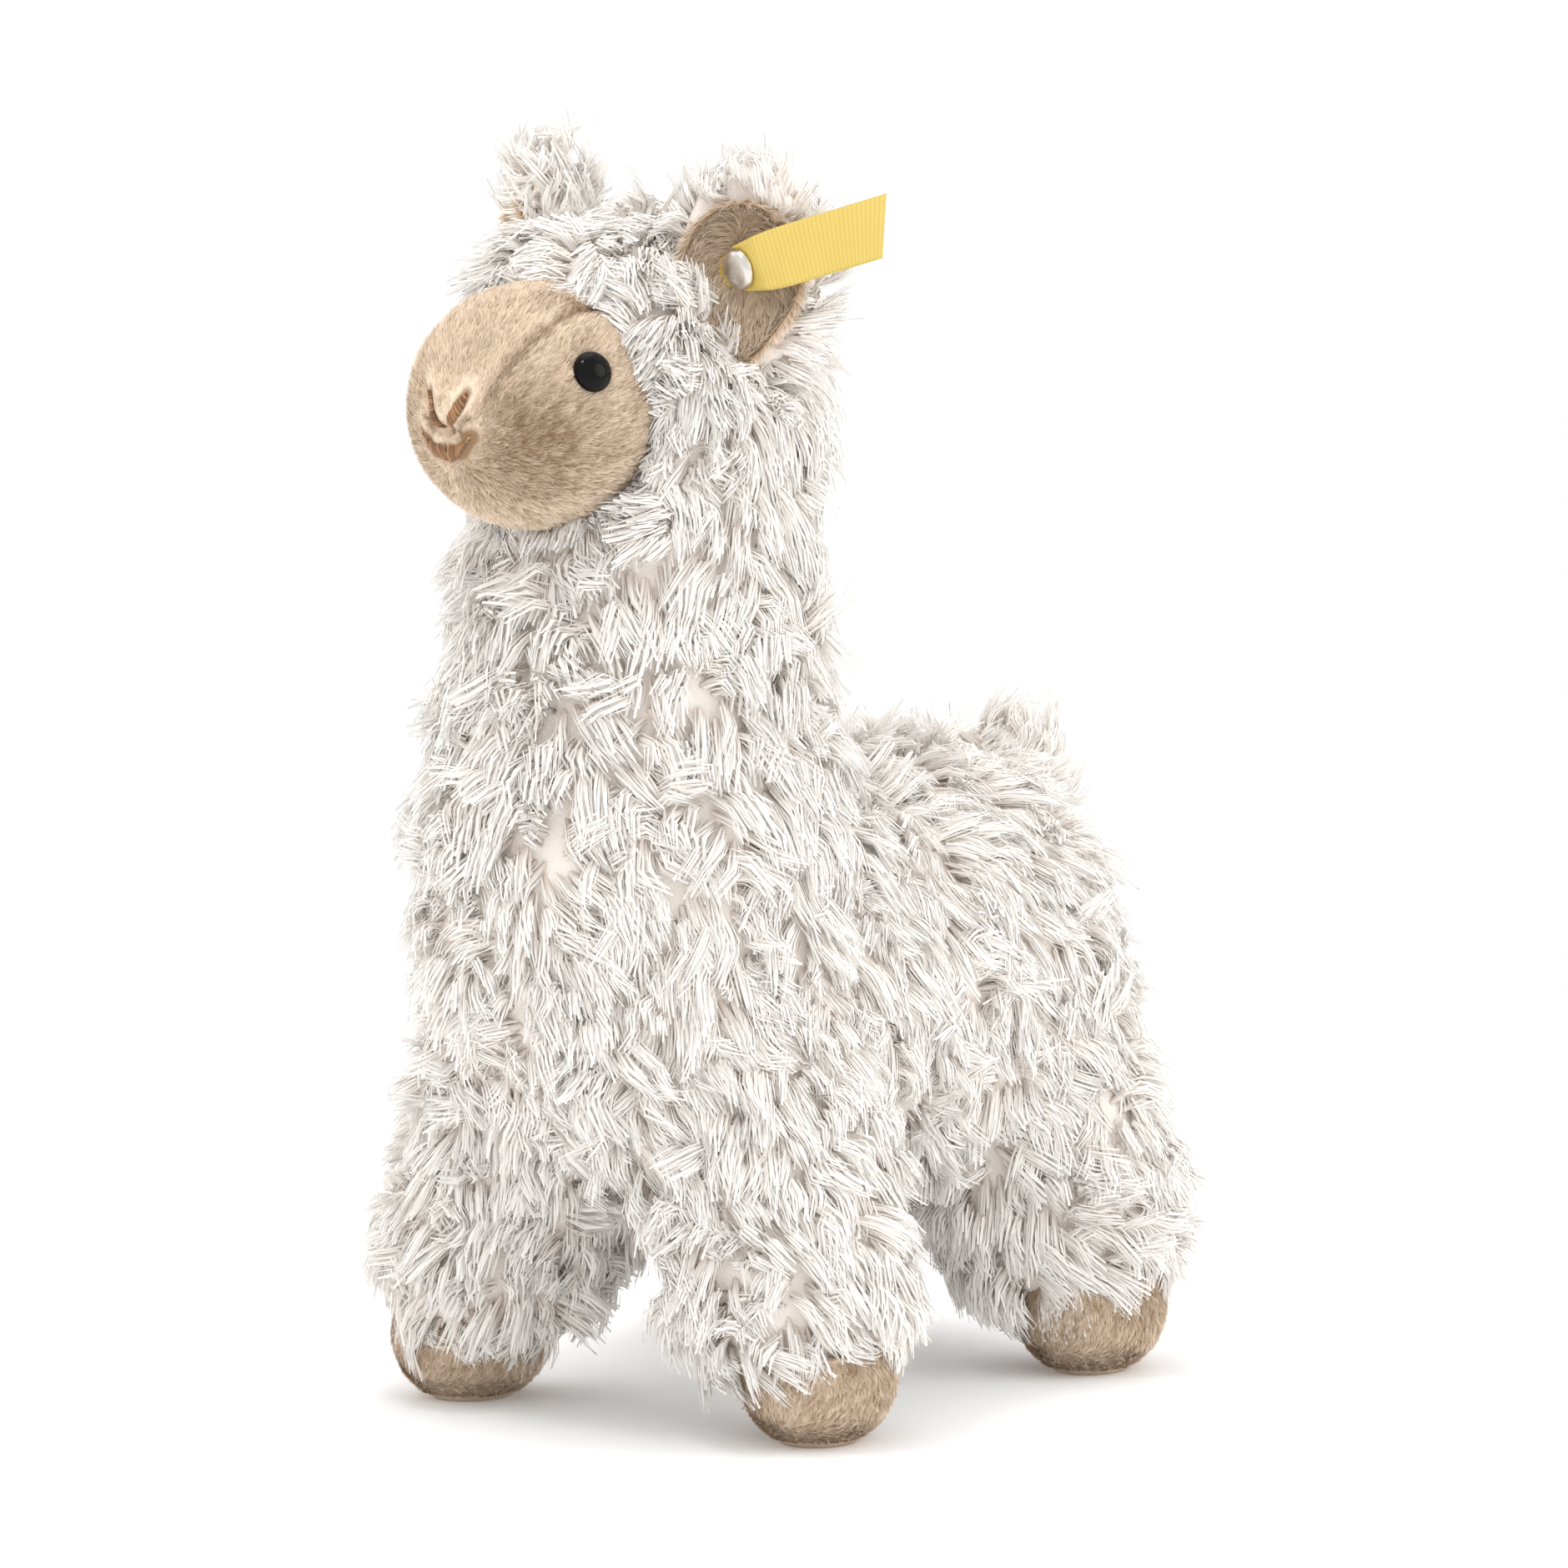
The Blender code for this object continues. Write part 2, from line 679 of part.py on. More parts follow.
def clasp_profile():
    top, low = clasp_top(), clasp_top() - CLASP_THICKNESS
    hole = BUTTON_SHANK_RADIUS + SEAM_GAP
    return [(hole, top), (CLASP_RADIUS, top), (CLASP_RADIUS, low), (hole, low)]


def tag_floor():
    """Height of the ribbon's underside above the ear's middle plane."""
    return EAR_HALF_THICKNESS - LINING_DEPTH + LINING_WALL + TAG_CLEARANCE


def tag_stack():
    return 2 * TAG_THICKNESS + TAG_FOLD_GAP


def button_profile():
    """Domed head and rivet shank, from the dome's top to the shank's end."""
    seat = tag_floor() + tag_stack() + SEAM_GAP
    edge = seat + BUTTON_EDGE
    steps = BUTTON_STEPS
    arc = [(BUTTON_RADIUS * math.sin(math.pi / 2 * i / steps),
            edge + BUTTON_DOME * math.cos(math.pi / 2 * i / steps))
           for i in range(1, steps + 1)]
    return [(0, edge + BUTTON_DOME), *arc, (BUTTON_RADIUS, seat), (BUTTON_SHANK_RADIUS, seat),
            (BUTTON_SHANK_RADIUS, clasp_end()), (0, clasp_end())]


def ribbon_line(offset):
    """Centre line of one ribbon layer, from its tail past the button to the fold."""
    floor = tag_floor() + offset
    bend = BUTTON_RADIUS * 1.3
    return [(-TAG_TAIL, floor), (bend, floor), (bend * 1.8, floor + TAG_LIFT * 0.55),
            (TAG_REACH * 0.62, floor + TAG_LIFT), (TAG_REACH, floor + TAG_LIFT * 0.7)]


def ear_tag():
    """A ribbon folded double at its free end, both ends under the button."""
    lower = ribbon_line(0.0)
    top = ribbon_line(2 * TAG_THICKNESS + TAG_FOLD_GAP)
    inner_low = ribbon_line(TAG_THICKNESS)
    inner_top = ribbon_line(TAG_THICKNESS + TAG_FOLD_GAP)
    end = TAG_REACH - TAG_THICKNESS
    inner_low[-1] = (end, inner_low[-1][1])
    inner_top[-1] = (end, inner_top[-1][1])
    outline = lower + top[::-1] + inner_top + inner_low[::-1]
    edge_on = Matrix.Rotation(math.radians(90), 4, "X")
    place = button_place() @ edge_on
    tag = prism("ear_tag", outline, -TAG_WIDTH / 2, TAG_WIDTH / 2, place, helper=False)
    tag.data.materials[0] = finish("yellow_ribbon")
    return tag


def fit_button(ear_back, lining):
    """Rivets the folded ribbon through the left ear."""
    place = button_place()
    tag = ear_tag()
    for piece in (ear_back, lining, tag):
        bore = BUTTON_SHANK_RADIUS + SEAM_GAP
        reach = 2 * EAR_HALF_THICKNESS
        drill = turned("drill", [(0, reach), (bore, reach), (bore, -reach), (0, -reach)], place,
                       helper=True)
        combine(piece, drill, "DIFFERENCE")
    smooth_shaded(turned("ear_button", button_profile(), place, "steel"))
    turned("ear_button_clasp", clasp_profile(), place, "steel")


def tail_place():
    lean = Matrix.Rotation(-TAIL_LEAN, 4, "X")
    root = Matrix.Translation((0, HIND_Y + TAIL_BACK, TAIL_HEIGHT))
    return root @ lean @ Matrix.Translation((0, 0, TAIL_HALF_LENGTH / 2))


def tail_ball(grow):
    radii = (TAIL_RADIUS, TAIL_RADIUS, TAIL_HALF_LENGTH)
    return ellipsoid(tail_place(), grown(radii, grow), TAIL_FACETS)


def body_surface():
    """Trunk, neck, head and legs grown together into one evenly faced skin."""
    legs = [leg_solid(side, y) for _, side in SIDES for _, y in LEGS]
    bm = bmesh.new()
    for part in (trunk_solid(), neck_solid(), head_solid(), *legs):
        bm.from_mesh(part.data)
        bpy.data.objects.remove(part)
    bmesh.ops.transform(bm, matrix=GRID_TURN, verts=bm.verts)
    body = new_object("stuffed_body", bm)
    remesh = body.modifiers.new("even_faces", "REMESH")
    remesh.mode = "VOXEL"
    remesh.voxel_size = LOCK_WIDTH
    soften = body.modifiers.new("soften", "SMOOTH")
    soften.factor = 0.5
    soften.iterations = 2
    settle(body)
    body.data.transform(GRID_TURN.inverted())
    return body


def guides():
    """Closed balls where the face, the feet, the ears and the tail will sit."""
    shapes = [face_ball(0.0), tail_ball(0.0)]
    shapes += [ear_ball(ear_place(side), 0.0) for _, side in SIDES]
    shapes += [foot_ball(side, y, 0.0) for _, side in SIDES for _, y in LEGS]
    made = [new_object("guide", shape, helper=True) for shape in shapes]
    bpy.context.view_layer.update()
    trees = [(tree_of(obj), LOCK_CLEARANCE) for obj in made]
    for obj in made:
        bpy.data.objects.remove(obj)
    return trees


def build():
    clear_scene()
    body = body_surface()
    smooth_body = tree_of(body)
    raise_locks(body, LOCK_HEIGHT, LOCK_DROOP, guides())

    combine(body, face_filling(), "UNION")
    seat = face_cup("seat", SEAM_GAP, CLOTH_WALL + SEAM_GAP, SEAM_GAP, helper=True)
    combine(body, seat, "DIFFERENCE")
    panels = face_panels()
    stitched(panels)
    fit_eyes(panels, body)

    for end, y in LEGS:
        for label, side in SIDES:
            combine(body, foot_filling(side, y), "UNION")
            combine(body, foot_cup("seat", side, y, SEAM_GAP, helper=True), "DIFFERENCE")
            smooth_shaded(foot_cup(f"foot_{end}_{label}", side, y))

    ears = make_ears(smooth_body)
    for _, side in SIDES:
        seat_ear(body, side)
    fit_button(*ears[0])

    tail = new_object("tail", tail_ball(0.0))
    raise_locks(tail, SMALL_LOCK_HEIGHT, 0.0, [(smooth_body, LOCK_HEIGHT + SMALL_LOCK_HEIGHT)])
    combine(body, new_object("seat", tail_ball(SEAM_GAP), helper=True), "DIFFERENCE")
    centre_on_ground()


def centre_on_ground():
    """Moves every piece so that the origin is at the middle of the box, on the ground."""
    bpy.context.view_layer.update()
    corners = [obj.matrix_world @ Vector(c) for obj in bpy.data.objects for c in obj.bound_box]
    middle = [(min(c[i] for c in corners) + max(c[i] for c in corners)) / 2 for i in (0, 1)]
    for obj in bpy.data.objects:
        obj.data.transform(Matrix.Translation((-middle[0], -middle[1], 0)))


build()
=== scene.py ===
"""A standing plush llama: shaggy white pile over a stuffed skin, a short-napped face, feet and ear
linings, domed eyes, stitched nostrils and mouth, and a plain folded ribbon riveted in one ear."""

import math

import bmesh
import bpy
import numpy as np
from bpy.props import FloatProperty, FloatVectorProperty, IntProperty
from mathutils import Matrix, Vector
from mathutils.kdtree import KDTree


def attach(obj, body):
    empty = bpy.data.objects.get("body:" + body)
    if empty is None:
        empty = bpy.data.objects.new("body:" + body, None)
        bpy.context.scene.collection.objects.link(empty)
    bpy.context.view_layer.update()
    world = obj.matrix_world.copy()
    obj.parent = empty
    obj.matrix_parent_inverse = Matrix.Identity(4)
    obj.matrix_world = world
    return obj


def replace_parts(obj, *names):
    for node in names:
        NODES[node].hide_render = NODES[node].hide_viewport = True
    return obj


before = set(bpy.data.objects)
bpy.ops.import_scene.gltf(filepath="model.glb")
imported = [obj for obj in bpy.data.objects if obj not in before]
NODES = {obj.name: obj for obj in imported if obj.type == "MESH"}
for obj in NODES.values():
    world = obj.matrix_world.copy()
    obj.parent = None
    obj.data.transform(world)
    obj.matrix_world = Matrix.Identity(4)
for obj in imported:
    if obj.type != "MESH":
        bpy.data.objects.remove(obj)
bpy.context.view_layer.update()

bl_info = {
    "name": "Plush Llama",
    "version": (1, 0, 0),
    "blender": (4, 5, 0),
    "location": "View3D > Sidebar > Llama",
    "description": "Dresses the packed frame of a plush llama in pile, nap, thread and ribbon",
    "category": "Object",
}

MM = 0.001
SIDES = (("left", 1), ("right", -1))
UP = Vector((0, 0, 1))
SORT_WAY = Vector((0.612, 1.377, 2.093))  # no two points of a shape lie level along it

# Places repeated from the part's source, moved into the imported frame.
MIDDLE_X, MIDDLE_Y = -0.00052, 0.00574
FRONT_Y, HIND_Y = MIDDLE_Y - 0.0487, MIDDLE_Y + 0.0487
HEAD = (
    Matrix.Translation((MIDDLE_X, FRONT_Y + 0.0027, 0.209))
    @ Matrix.Rotation(math.radians(-6), 4, "Z")
)
FACE = (
    HEAD @ Matrix.Translation((0, -0.0335, -0.0033)) @ Matrix.Rotation(math.radians(8), 4, "X")
)
LEG_TOP, NECK_FOOT, NECK_BACK, HEAD_FOOT = 0.066, 0.118, 0.020, 0.178
FACE_RADII = (0.0238, 0.0255, 0.0238)
FACE_RIM_BACK = 0.0105
FACE_RIM_LEAN = math.radians(14)
GUSSET_HALF_WIDTH = 0.0138
GUSSET_BULGE = 2.6
GUSSET_SILL = -0.001
EYE_RADIUS = 0.0041
FOOT_RADII = (0.0150, 0.0175, 0.0150)
FOOT_MIDDLE = 0.0135
FOOT_RIM = 0.0190
FOOT_TURN = math.radians(7)
SOLE_TOP = 0.0008
EAR_RADII = (0.0150, 0.0225, 0.0065)
EAR_OPENING = (0.0105, 0.0160, 0.0075)
LINING_RADII = (0.0118, 0.0170, 0.0045)
LINING_PINCH = 0.55
LINING_TOP = 0.86
TAIL_RADII = (0.0105, 0.0105, 0.0170)
TAG_FLOOR = 0.0053
TAG_WIDTH = 0.0118
TAG_REACH = 0.0290
TAG_TAIL = 0.0052
TAG_LAYER_RISE = 0.0011
BUTTON_RADIUS = 0.0041
BUTTON_SEAT = 0.0015 + 0.0003
BUTTON_TILT = math.radians(50)


def frame_at(point, out, up=UP):
    """A frame at point whose Z runs along out and whose Y runs as near up as it can."""
    z = out.normalized()
    x = up.cross(z).normalized()
    place = Matrix((x, z.cross(x), z)).transposed().to_4x4()
    place.translation = point
    return place


def ear_place(side):
    """A frame at the ear's middle, its Z along the way the ear faces."""
    facing = side * math.radians(37)
    out = HEAD.to_3x3() @ Vector((math.sin(facing), -math.cos(facing), 0))
    return frame_at(HEAD @ Vector((side * 0.0265, -0.002, 0.0215)), out)


def lining_outline(local):
    """How low points lie in an ear, and their lining's width and height there, as shares."""
    low = np.clip(-local[:, 1] / LINING_RADII[1], 0, 1)
    return low, 1 - LINING_PINCH * low ** 1.6, np.where(local[:, 1] > 0, LINING_TOP, 1)


def button_place():
    """A frame on the button's axis, its X along the ribbon."""
    spot = Matrix.Translation((0, 0.002, 0))
    return ear_place(1) @ spot @ Matrix.Rotation(math.radians(17), 4, "Z")


def foot_place(side, y):
    """A frame at the middle of a foot's ball."""
    middle = Matrix.Translation((MIDDLE_X + side * 0.043, y, FOOT_MIDDLE))
    return middle @ Matrix.Rotation(side * FOOT_TURN, 4, "Z")


def tail_place():
    """A frame at the tail's middle, its Z along the tail."""
    lean = Matrix.Rotation(math.radians(-30), 4, "X")
    root = Matrix.Translation((MIDDLE_X, HIND_Y + 0.0253, 0.104))
    return root @ lean @ Matrix.Translation((0, 0, TAIL_RADII[2] / 2))


def eye_place(side):
    """A frame on the face's surface at one eye, its Z straight out of the cheek."""
    azimuth, elevation = math.radians(76), math.radians(22)
    level = math.cos(elevation)
    way = Vector(
        (side * level * math.sin(azimuth), -level * math.cos(azimuth), math.sin(elevation))
    )
    point = Vector(w * r for w, r in zip(way, FACE_RADII))
    out = Vector(w / r for w, r in zip(way, FACE_RADII))
    return frame_at(FACE @ point, FACE.to_3x3() @ out)


FEET = {
    f"foot_{row}_{label}": foot_place(side, y)
    for label, side in SIDES
    for row, y in (("front", FRONT_Y), ("hind", HIND_Y))
}


# ---------------------------------------------------------------- settings


class PileSettings(bpy.types.PropertyGroup):
    """The long white pile."""

    spacing: FloatProperty(
        name="Lock spacing", description="Distance between two locks' roots",
        default=2.75 * MM, unit="LENGTH",
    )
    length: FloatProperty(
        name="Lock length", description="Length of an average lock",
        default=12.5 * MM, unit="LENGTH",
    )
    width: FloatProperty(
        name="Lock half width", description="Half the width of an average lock",
        default=1.65 * MM, unit="LENGTH",
    )
    tuft: FloatProperty(
        name="Tuft size", description="Distance between the middles of two tufts",
        default=6.2 * MM, unit="LENGTH",
    )
    gather: FloatProperty(
        name="Gather", description="How far a tuft's locks draw together at their tips",
        default=0.50,
    )
    skin_depth: FloatProperty(
        name="Skin depth", description="How far the cloth lies below the solid's mean surface",
        default=2.3 * MM, unit="LENGTH",
    )
    tip_colour: FloatVectorProperty(
        name="Tip colour", description="Colour of the pile's ends", subtype="COLOR",
        default=(0.972, 0.949, 0.920),
    )
    # The beige at the root is painted shade of the pile's depth.
    root_colour: FloatVectorProperty(
        name="Root colour", description="Colour of the pile at the cloth", subtype="COLOR",
        default=(0.93, 0.81, 0.715),
    )
    seed: IntProperty(name="Seed", description="Start of the random draws", default=11)


class NapSettings(bpy.types.PropertyGroup):
    """The short sand-coloured nap of face, feet and ear linings."""

    length: FloatProperty(
        name="Nap length", description="Length of one hair", default=1.7 * MM, unit="LENGTH",
    )
    width: FloatProperty(
        name="Nap width", description="Width of one hair at its root", default=0.30 * MM,
        unit="LENGTH",
    )
    spacing: FloatProperty(
        name="Nap spacing", description="Distance between two hairs", default=0.36 * MM,
        unit="LENGTH",
    )
    seam_depth: FloatProperty(
        name="Seam depth", description="How far a seam pulls the cloth in", default=0.9 * MM,
        unit="LENGTH",
    )
    light_colour: FloatVectorProperty(
        name="Light colour", description="Colour of the hairs' ends", subtype="COLOR",
        default=(0.89, 0.74, 0.575),
    )
    # Each hair darkens toward this colour at its root, a painted shade between the hairs.
    deep_colour: FloatVectorProperty(
        name="Deep colour", description="Colour between the hairs", subtype="COLOR",
        default=(0.33, 0.21, 0.12),
    )


class TrimSettings(bpy.types.PropertyGroup):
    """Eyes, thread, ribbon and button."""

    thread_colour: FloatVectorProperty(
        name="Thread colour", description="Colour of the stitching", subtype="COLOR",
        default=(0.44, 0.22, 0.095),
    )
    thread_width: FloatProperty(
        name="Thread width", description="Thickness of one stitch", default=0.38 * MM,
        unit="LENGTH",
    )
    ribbon_colour: FloatVectorProperty(
        name="Ribbon colour", description="Colour of the ear ribbon", subtype="COLOR",
        default=(0.73, 0.56, 0.160),
    )
    rib_pitch: FloatProperty(
        name="Rib pitch", description="Distance between the ribbon's ribs", default=0.42 * MM,
        unit="LENGTH",
    )


class StudioSettings(bpy.types.PropertyGroup):
    """Camera and light."""

    azimuth: FloatProperty(
        name="Azimuth", description="Camera's way round the llama", subtype="ANGLE",
        default=math.radians(35.3),
    )
    elevation: FloatProperty(
        name="Elevation", description="Camera's height as an angle", subtype="ANGLE",
        default=math.radians(7.0),
    )
    distance: FloatProperty(
        name="Distance", description="From the camera to the llama", default=2.0, unit="LENGTH",
    )
    span: FloatProperty(
        name="Span", description="Width of the picture at the llama", default=0.3186,
        unit="LENGTH",
    )
    sky_level: FloatProperty(
        name="Sky level", description="Light that comes evenly from all round", default=1.10,
    )
    lamp_power: FloatProperty(
        name="Lamp power", description="Power of the soft lamp above", default=3.05,
    )


# ---------------------------------------------------------------- finishes


class Wire:
    """One output of a node. Sums on it add the Math nodes that they need."""

    def __init__(self, finish, socket):
        self.finish, self.socket = finish, socket

    def maths(self, operation, *values):
        inputs = dict(enumerate(values))
        return self.finish.node("ShaderNodeMath", {"operation": operation}, inputs)

    def __add__(self, other):
        return self.maths("ADD", self, other)

    def __sub__(self, other):
        return self.maths("SUBTRACT", self, other)

    def __mul__(self, other):
        return self.maths("MULTIPLY", self, other)

    def __pow__(self, other):
        return self.maths("POWER", self, other)


class Finish:
    """A procedural material."""

    def __init__(self, name):
        self.material = bpy.data.materials.new(name)
        self.material.use_nodes = True
        self.tree = self.material.node_tree
        self.tree.nodes.clear()

    def node(self, kind, settings=None, inputs=None, output=0):
        """Adds a node: first its settings, then its sockets' values or links."""
        made = self.tree.nodes.new(kind)
        for key, value in (settings or {}).items():
            if key == "stops":
                ramp = made.color_ramp
                while len(ramp.elements) < len(value):
                    ramp.elements.new(0.5)
                for element, (position, colour) in zip(ramp.elements, value):
                    element.position, element.color = position, colour
            else:
                setattr(made, key, value)
        for key, value in (inputs or {}).items():
            if isinstance(value, Wire):
                self.tree.links.new(value.socket, made.inputs[key])
            else:
                made.inputs[key].default_value = value
        return Wire(self, made.outputs[output]) if made.outputs else None

    def mixed(self, factor, first, second):
        """A colour between two, by factor."""
        first, second = (c if isinstance(c, Wire) else (*c, 1.0) for c in (first, second))
        inputs = {0: factor, 6: first, 7: second}
        return self.node("ShaderNodeMix", {"data_type": "RGBA"}, inputs, 2)

    def attribute(self, name):
        return self.node("ShaderNodeAttribute", {"attribute_name": name}, output="Fac")

    def stretched(self, scale, source="Object"):
        """Object coordinates, or the piece's own map, scaled along each axis."""
        place = self.node("ShaderNodeTexCoord", output=source)
        return self.node("ShaderNodeMapping", inputs={"Vector": place, "Scale": scale})

    def noise(self, scale, detail=3.0, vector=None):
        vector = vector or self.stretched((1, 1, 1))
        inputs = {"Vector": vector, "Scale": scale, "Detail": detail}
        return self.node("ShaderNodeTexNoise", inputs=inputs)

    def bumped(self, height, distance, strength=1.0, normal=None):
        inputs = {"Height": height, "Distance": distance, "Strength": strength}
        if normal:
            inputs["Normal"] = normal
        return self.node("ShaderNodeBump", inputs=inputs)

    def leaning(self, name, share):
        """The surface's normal, drawn by share towards the piece's own vectors."""
        own = self.node("ShaderNodeNewGeometry", output="Normal")
        soft = self.node("ShaderNodeAttribute", {"attribute_name": name}, output="Vector")
        inputs = {0: share, 4: own, 5: soft}
        mix = self.node("ShaderNodeMix", {"data_type": "VECTOR"}, inputs, 1)
        return self.node("ShaderNodeVectorMath", {"operation": "NORMALIZE"}, {0: mix})

    def done(self, through=0.0, **inputs):
        """Closes the material with a Principled surface, which lets the share through of the
        light pass. Its sockets' names have _ for a space."""
        named = {key.replace("_", " "): value for key, value in inputs.items()}
        named = {("Specular IOR Level" if k == "Specular" else k): v for k, v in named.items()}
        surface = self.node("ShaderNodeBsdfPrincipled", inputs=named)
        if through:
            glow = self.node("ShaderNodeBsdfTranslucent", inputs={"Color": (0.95, 0.93, 0.90, 1)})
            surface = self.node("ShaderNodeMixShader", inputs={0: through, 1: surface, 2: glow})
        self.node("ShaderNodeOutputMaterial", inputs={"Surface": surface})
        return self.material


def kept(maker):
    """One material for each maker, however many pieces use it."""
    name = maker.__name__
    return bpy.data.materials.get(name) or maker(name)


def white_pile(name):
    """Polyester locks, white at the tip, with painted shade deepening to beige at the root,
    streaked along their fibres.
    """
    pile = bpy.context.scene.llama_pile
    f = Finish(name)
    reach, shade = f.attribute("reach"), f.attribute("shade")
    streaks = f.noise(1.0, 2.0, f.stretched((9, 1.2, 1), "UV"))
    whole = f.noise(70.0, 2.0)
    depth = (reach ** 0.75) * 0.95 + (shade - 0.5) * 0.16 + (streaks - 0.5) * 0.22
    depth = depth + (whole - 0.5) * 0.35
    # Beige toward the root, white at the tip: painted shade of the pile's depth.
    colour = f.node(
        "ShaderNodeValToRGB",
        {"stops": ((0.0, (*pile.root_colour, 1)),
                   (0.42, (0.960, 0.912, 0.862, 1)),
                   (0.95, (*pile.tip_colour, 1)))},
        {0: depth},
    )
    normal = f.bumped(streaks, 0.25 * MM, 0.4, f.leaning("soft", 0.3))
    return f.done(Base_Color=colour, Roughness=0.9, Specular=0.10, Normal=normal,
                  through=0.15)


def pile_cloth(name):
    """The woven ground that the long pile grows from."""
    f = Finish(name)
    weave = f.node("ShaderNodeTexVoronoi", inputs={"Vector": f.stretched((1, 1, 1)),
                                                    "Scale": 1400.0})
    colour = f.mixed(f.noise(90.0), (0.88, 0.81, 0.74), (0.95, 0.90, 0.85))
    return f.done(Base_Color=colour, Roughness=0.95, Specular=0.1,
                  Normal=f.bumped(weave, 0.2 * MM, 0.6))


def sand_nap(name):
    """Single hairs of the short nap, each with its own shade."""
    nap = bpy.context.scene.llama_nap
    f = Finish(name)
    # Darker toward each hair's root: painted shade between the hairs. The "shade" attribute adds
    # each hair's own random tone and, on the face, painted light and shade.
    tone = f.attribute("reach") * 0.40 + f.attribute("shade")
    tone = tone + (f.noise(420.0, 2.0) - 0.5) * 0.5 + (f.noise(110.0, 2.0) - 0.5) * 0.5 - 0.16
    colour = f.mixed(tone, nap.deep_colour, nap.light_colour)
    return f.done(Base_Color=colour, Roughness=0.85, Specular=0.15, Sheen_Weight=0.2,
                  Sheen_Roughness=0.4)


def sand_cloth(name):
    """The velour under the nap."""
    nap = bpy.context.scene.llama_nap
    f = Finish(name)
    grain = f.noise(2600.0, 2.0)
    lie = f.noise(220.0, 3.0)
    # On the face panels the "shade" attribute adds painted light and shade; the two noises are the
    # velour's own grain.
    tone = grain * 0.5 + lie * 0.5 + f.attribute("shade")
    colour = f.mixed(tone, nap.deep_colour, nap.light_colour)
    return f.done(Base_Color=colour, Roughness=0.9, Specular=0.12,
                  Normal=f.bumped(grain, 0.25 * MM, 0.8), Sheen_Weight=0.2, Sheen_Roughness=0.4)


def brown_thread(name):
    """Twisted embroidery thread with a satin shine."""
    trim = bpy.context.scene.llama_trim
    f = Finish(name)
    twist = f.node("ShaderNodeTexWave", {"bands_direction": "DIAGONAL"},
                   {"Vector": f.stretched((4, 22, 1), "UV"), "Scale": 1.0, "Distortion": 0.6}, 1)
    shade = f.attribute("shade")
    deep = tuple(c * 0.30 for c in trim.thread_colour)
    light = tuple(min(1.0, c * 1.5 + 0.04) for c in trim.thread_colour)
    colour = f.mixed(twist * 0.3 + shade * 0.85 - 0.1, deep, light)
    return f.done(Base_Color=colour, Roughness=0.45, Specular=0.4,
                  Normal=f.bumped(twist, 0.06 * MM, 0.6))


def black_gloss(name):
    """Moulded black eye, polished, with the faintest dust."""
    f = Finish(name)
    dust = f.noise(900.0, 4.0)
    colour = f.mixed(dust, (0.0025, 0.0025, 0.0025), (0.006, 0.0055, 0.005))
    return f.done(Base_Color=colour, Roughness=dust * 0.08 + 0.05, Specular=0.14)


def yellow_ribbon(name):
    """Woven ribbon: fine ribs across it and a soft sheen."""
    trim = bpy.context.scene.llama_trim
    f = Finish(name)
    ribs = f.node("ShaderNodeTexWave", {"bands_direction": "X"},
                  {"Vector": f.stretched((1 / trim.rib_pitch / 3.2, 40, 1), "UV"),
                   "Scale": 0.5, "Distortion": 0.25, "Detail": 1.0}, 1)
    patches = f.noise(120.0, 2.0)
    deep = tuple(c * f_ for c, f_ in zip(trim.ribbon_colour, (0.86, 0.80, 0.60)))
    colour = f.mixed(ribs * 0.6 + patches * 0.4, deep, trim.ribbon_colour)
    return f.done(Base_Color=colour, Roughness=ribs * 0.15 + 0.5, Specular=0.3,
                  Normal=f.bumped(ribs, 0.08 * MM, 0.5))


def steel(name):
    """Nickelled steel, brushed by handling."""
    f = Finish(name)
    scratches = f.noise(500.0, 5.0, f.stretched((1, 6, 1)))
    colour = f.mixed(scratches, (0.66, 0.62, 0.56), (0.78, 0.745, 0.69))
    return f.done(Base_Color=colour, Metallic=1.0, Roughness=scratches * 0.12 + 0.2,
                  Normal=f.bumped(scratches, 0.01 * MM, 0.15))


def clear_plastic(name):
    """The lock washers inside the face."""
    f = Finish(name)
    haze = f.noise(300.0)
    colour = f.mixed(haze, (0.80, 0.81, 0.80), (0.90, 0.91, 0.90))
    return f.done(Base_Color=colour, Roughness=haze * 0.2 + 0.2)


# ---------------------------------------------------------------- shapes


def mesh_of(name, bm):
    """Makes a mesh of a bmesh, which is freed."""
    mesh = bpy.data.meshes.new(name)
    bm.to_mesh(mesh)
    bm.free()
    return mesh


def added(name, data):
    """Puts an object of the data in the scene."""
    made = bpy.data.objects.new(name, data)
    bpy.context.scene.collection.objects.link(made)
    return made


def new_piece(name, bm, maker):
    """Makes a mesh piece of a bmesh, riding on the part's one body."""
    mesh = mesh_of(name, bm)
    piece = added(name, mesh)
    mesh.materials.append(kept(maker))
    mesh.shade_smooth()
    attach(piece, "root")
    return piece


def settled(piece):
    """Applies the piece's modifiers."""
    bpy.context.view_layer.update()
    graph = bpy.context.evaluated_depsgraph_get()
    mesh = bpy.data.meshes.new_from_object(piece.evaluated_get(graph))
    old = piece.data
    piece.modifiers.clear()
    piece.data = mesh
    bpy.data.meshes.remove(old)
    mesh.name = piece.name
    return piece


def points_of(mesh, field="co"):
    """The mesh's points, or its normals, as rows."""
    rows = np.empty(len(mesh.vertices) * 3, np.float32)
    mesh.vertices.foreach_get(field, rows)
    return rows.reshape(-1, 3).astype(float)


def set_points(mesh, points):
    mesh.vertices.foreach_set("co", np.asarray(points, np.float32).ravel())
    mesh.update()


def set_attribute(mesh, name, values, kind="FLOAT"):
    layer = mesh.attributes.new(name, kind, "POINT")
    field = "value" if kind == "FLOAT" else "vector"
    layer.data.foreach_set(field, np.asarray(values, np.float32).ravel())


def unit(vectors):
    return vectors / np.maximum(np.linalg.norm(vectors, axis=-1, keepdims=True), 1e-9)


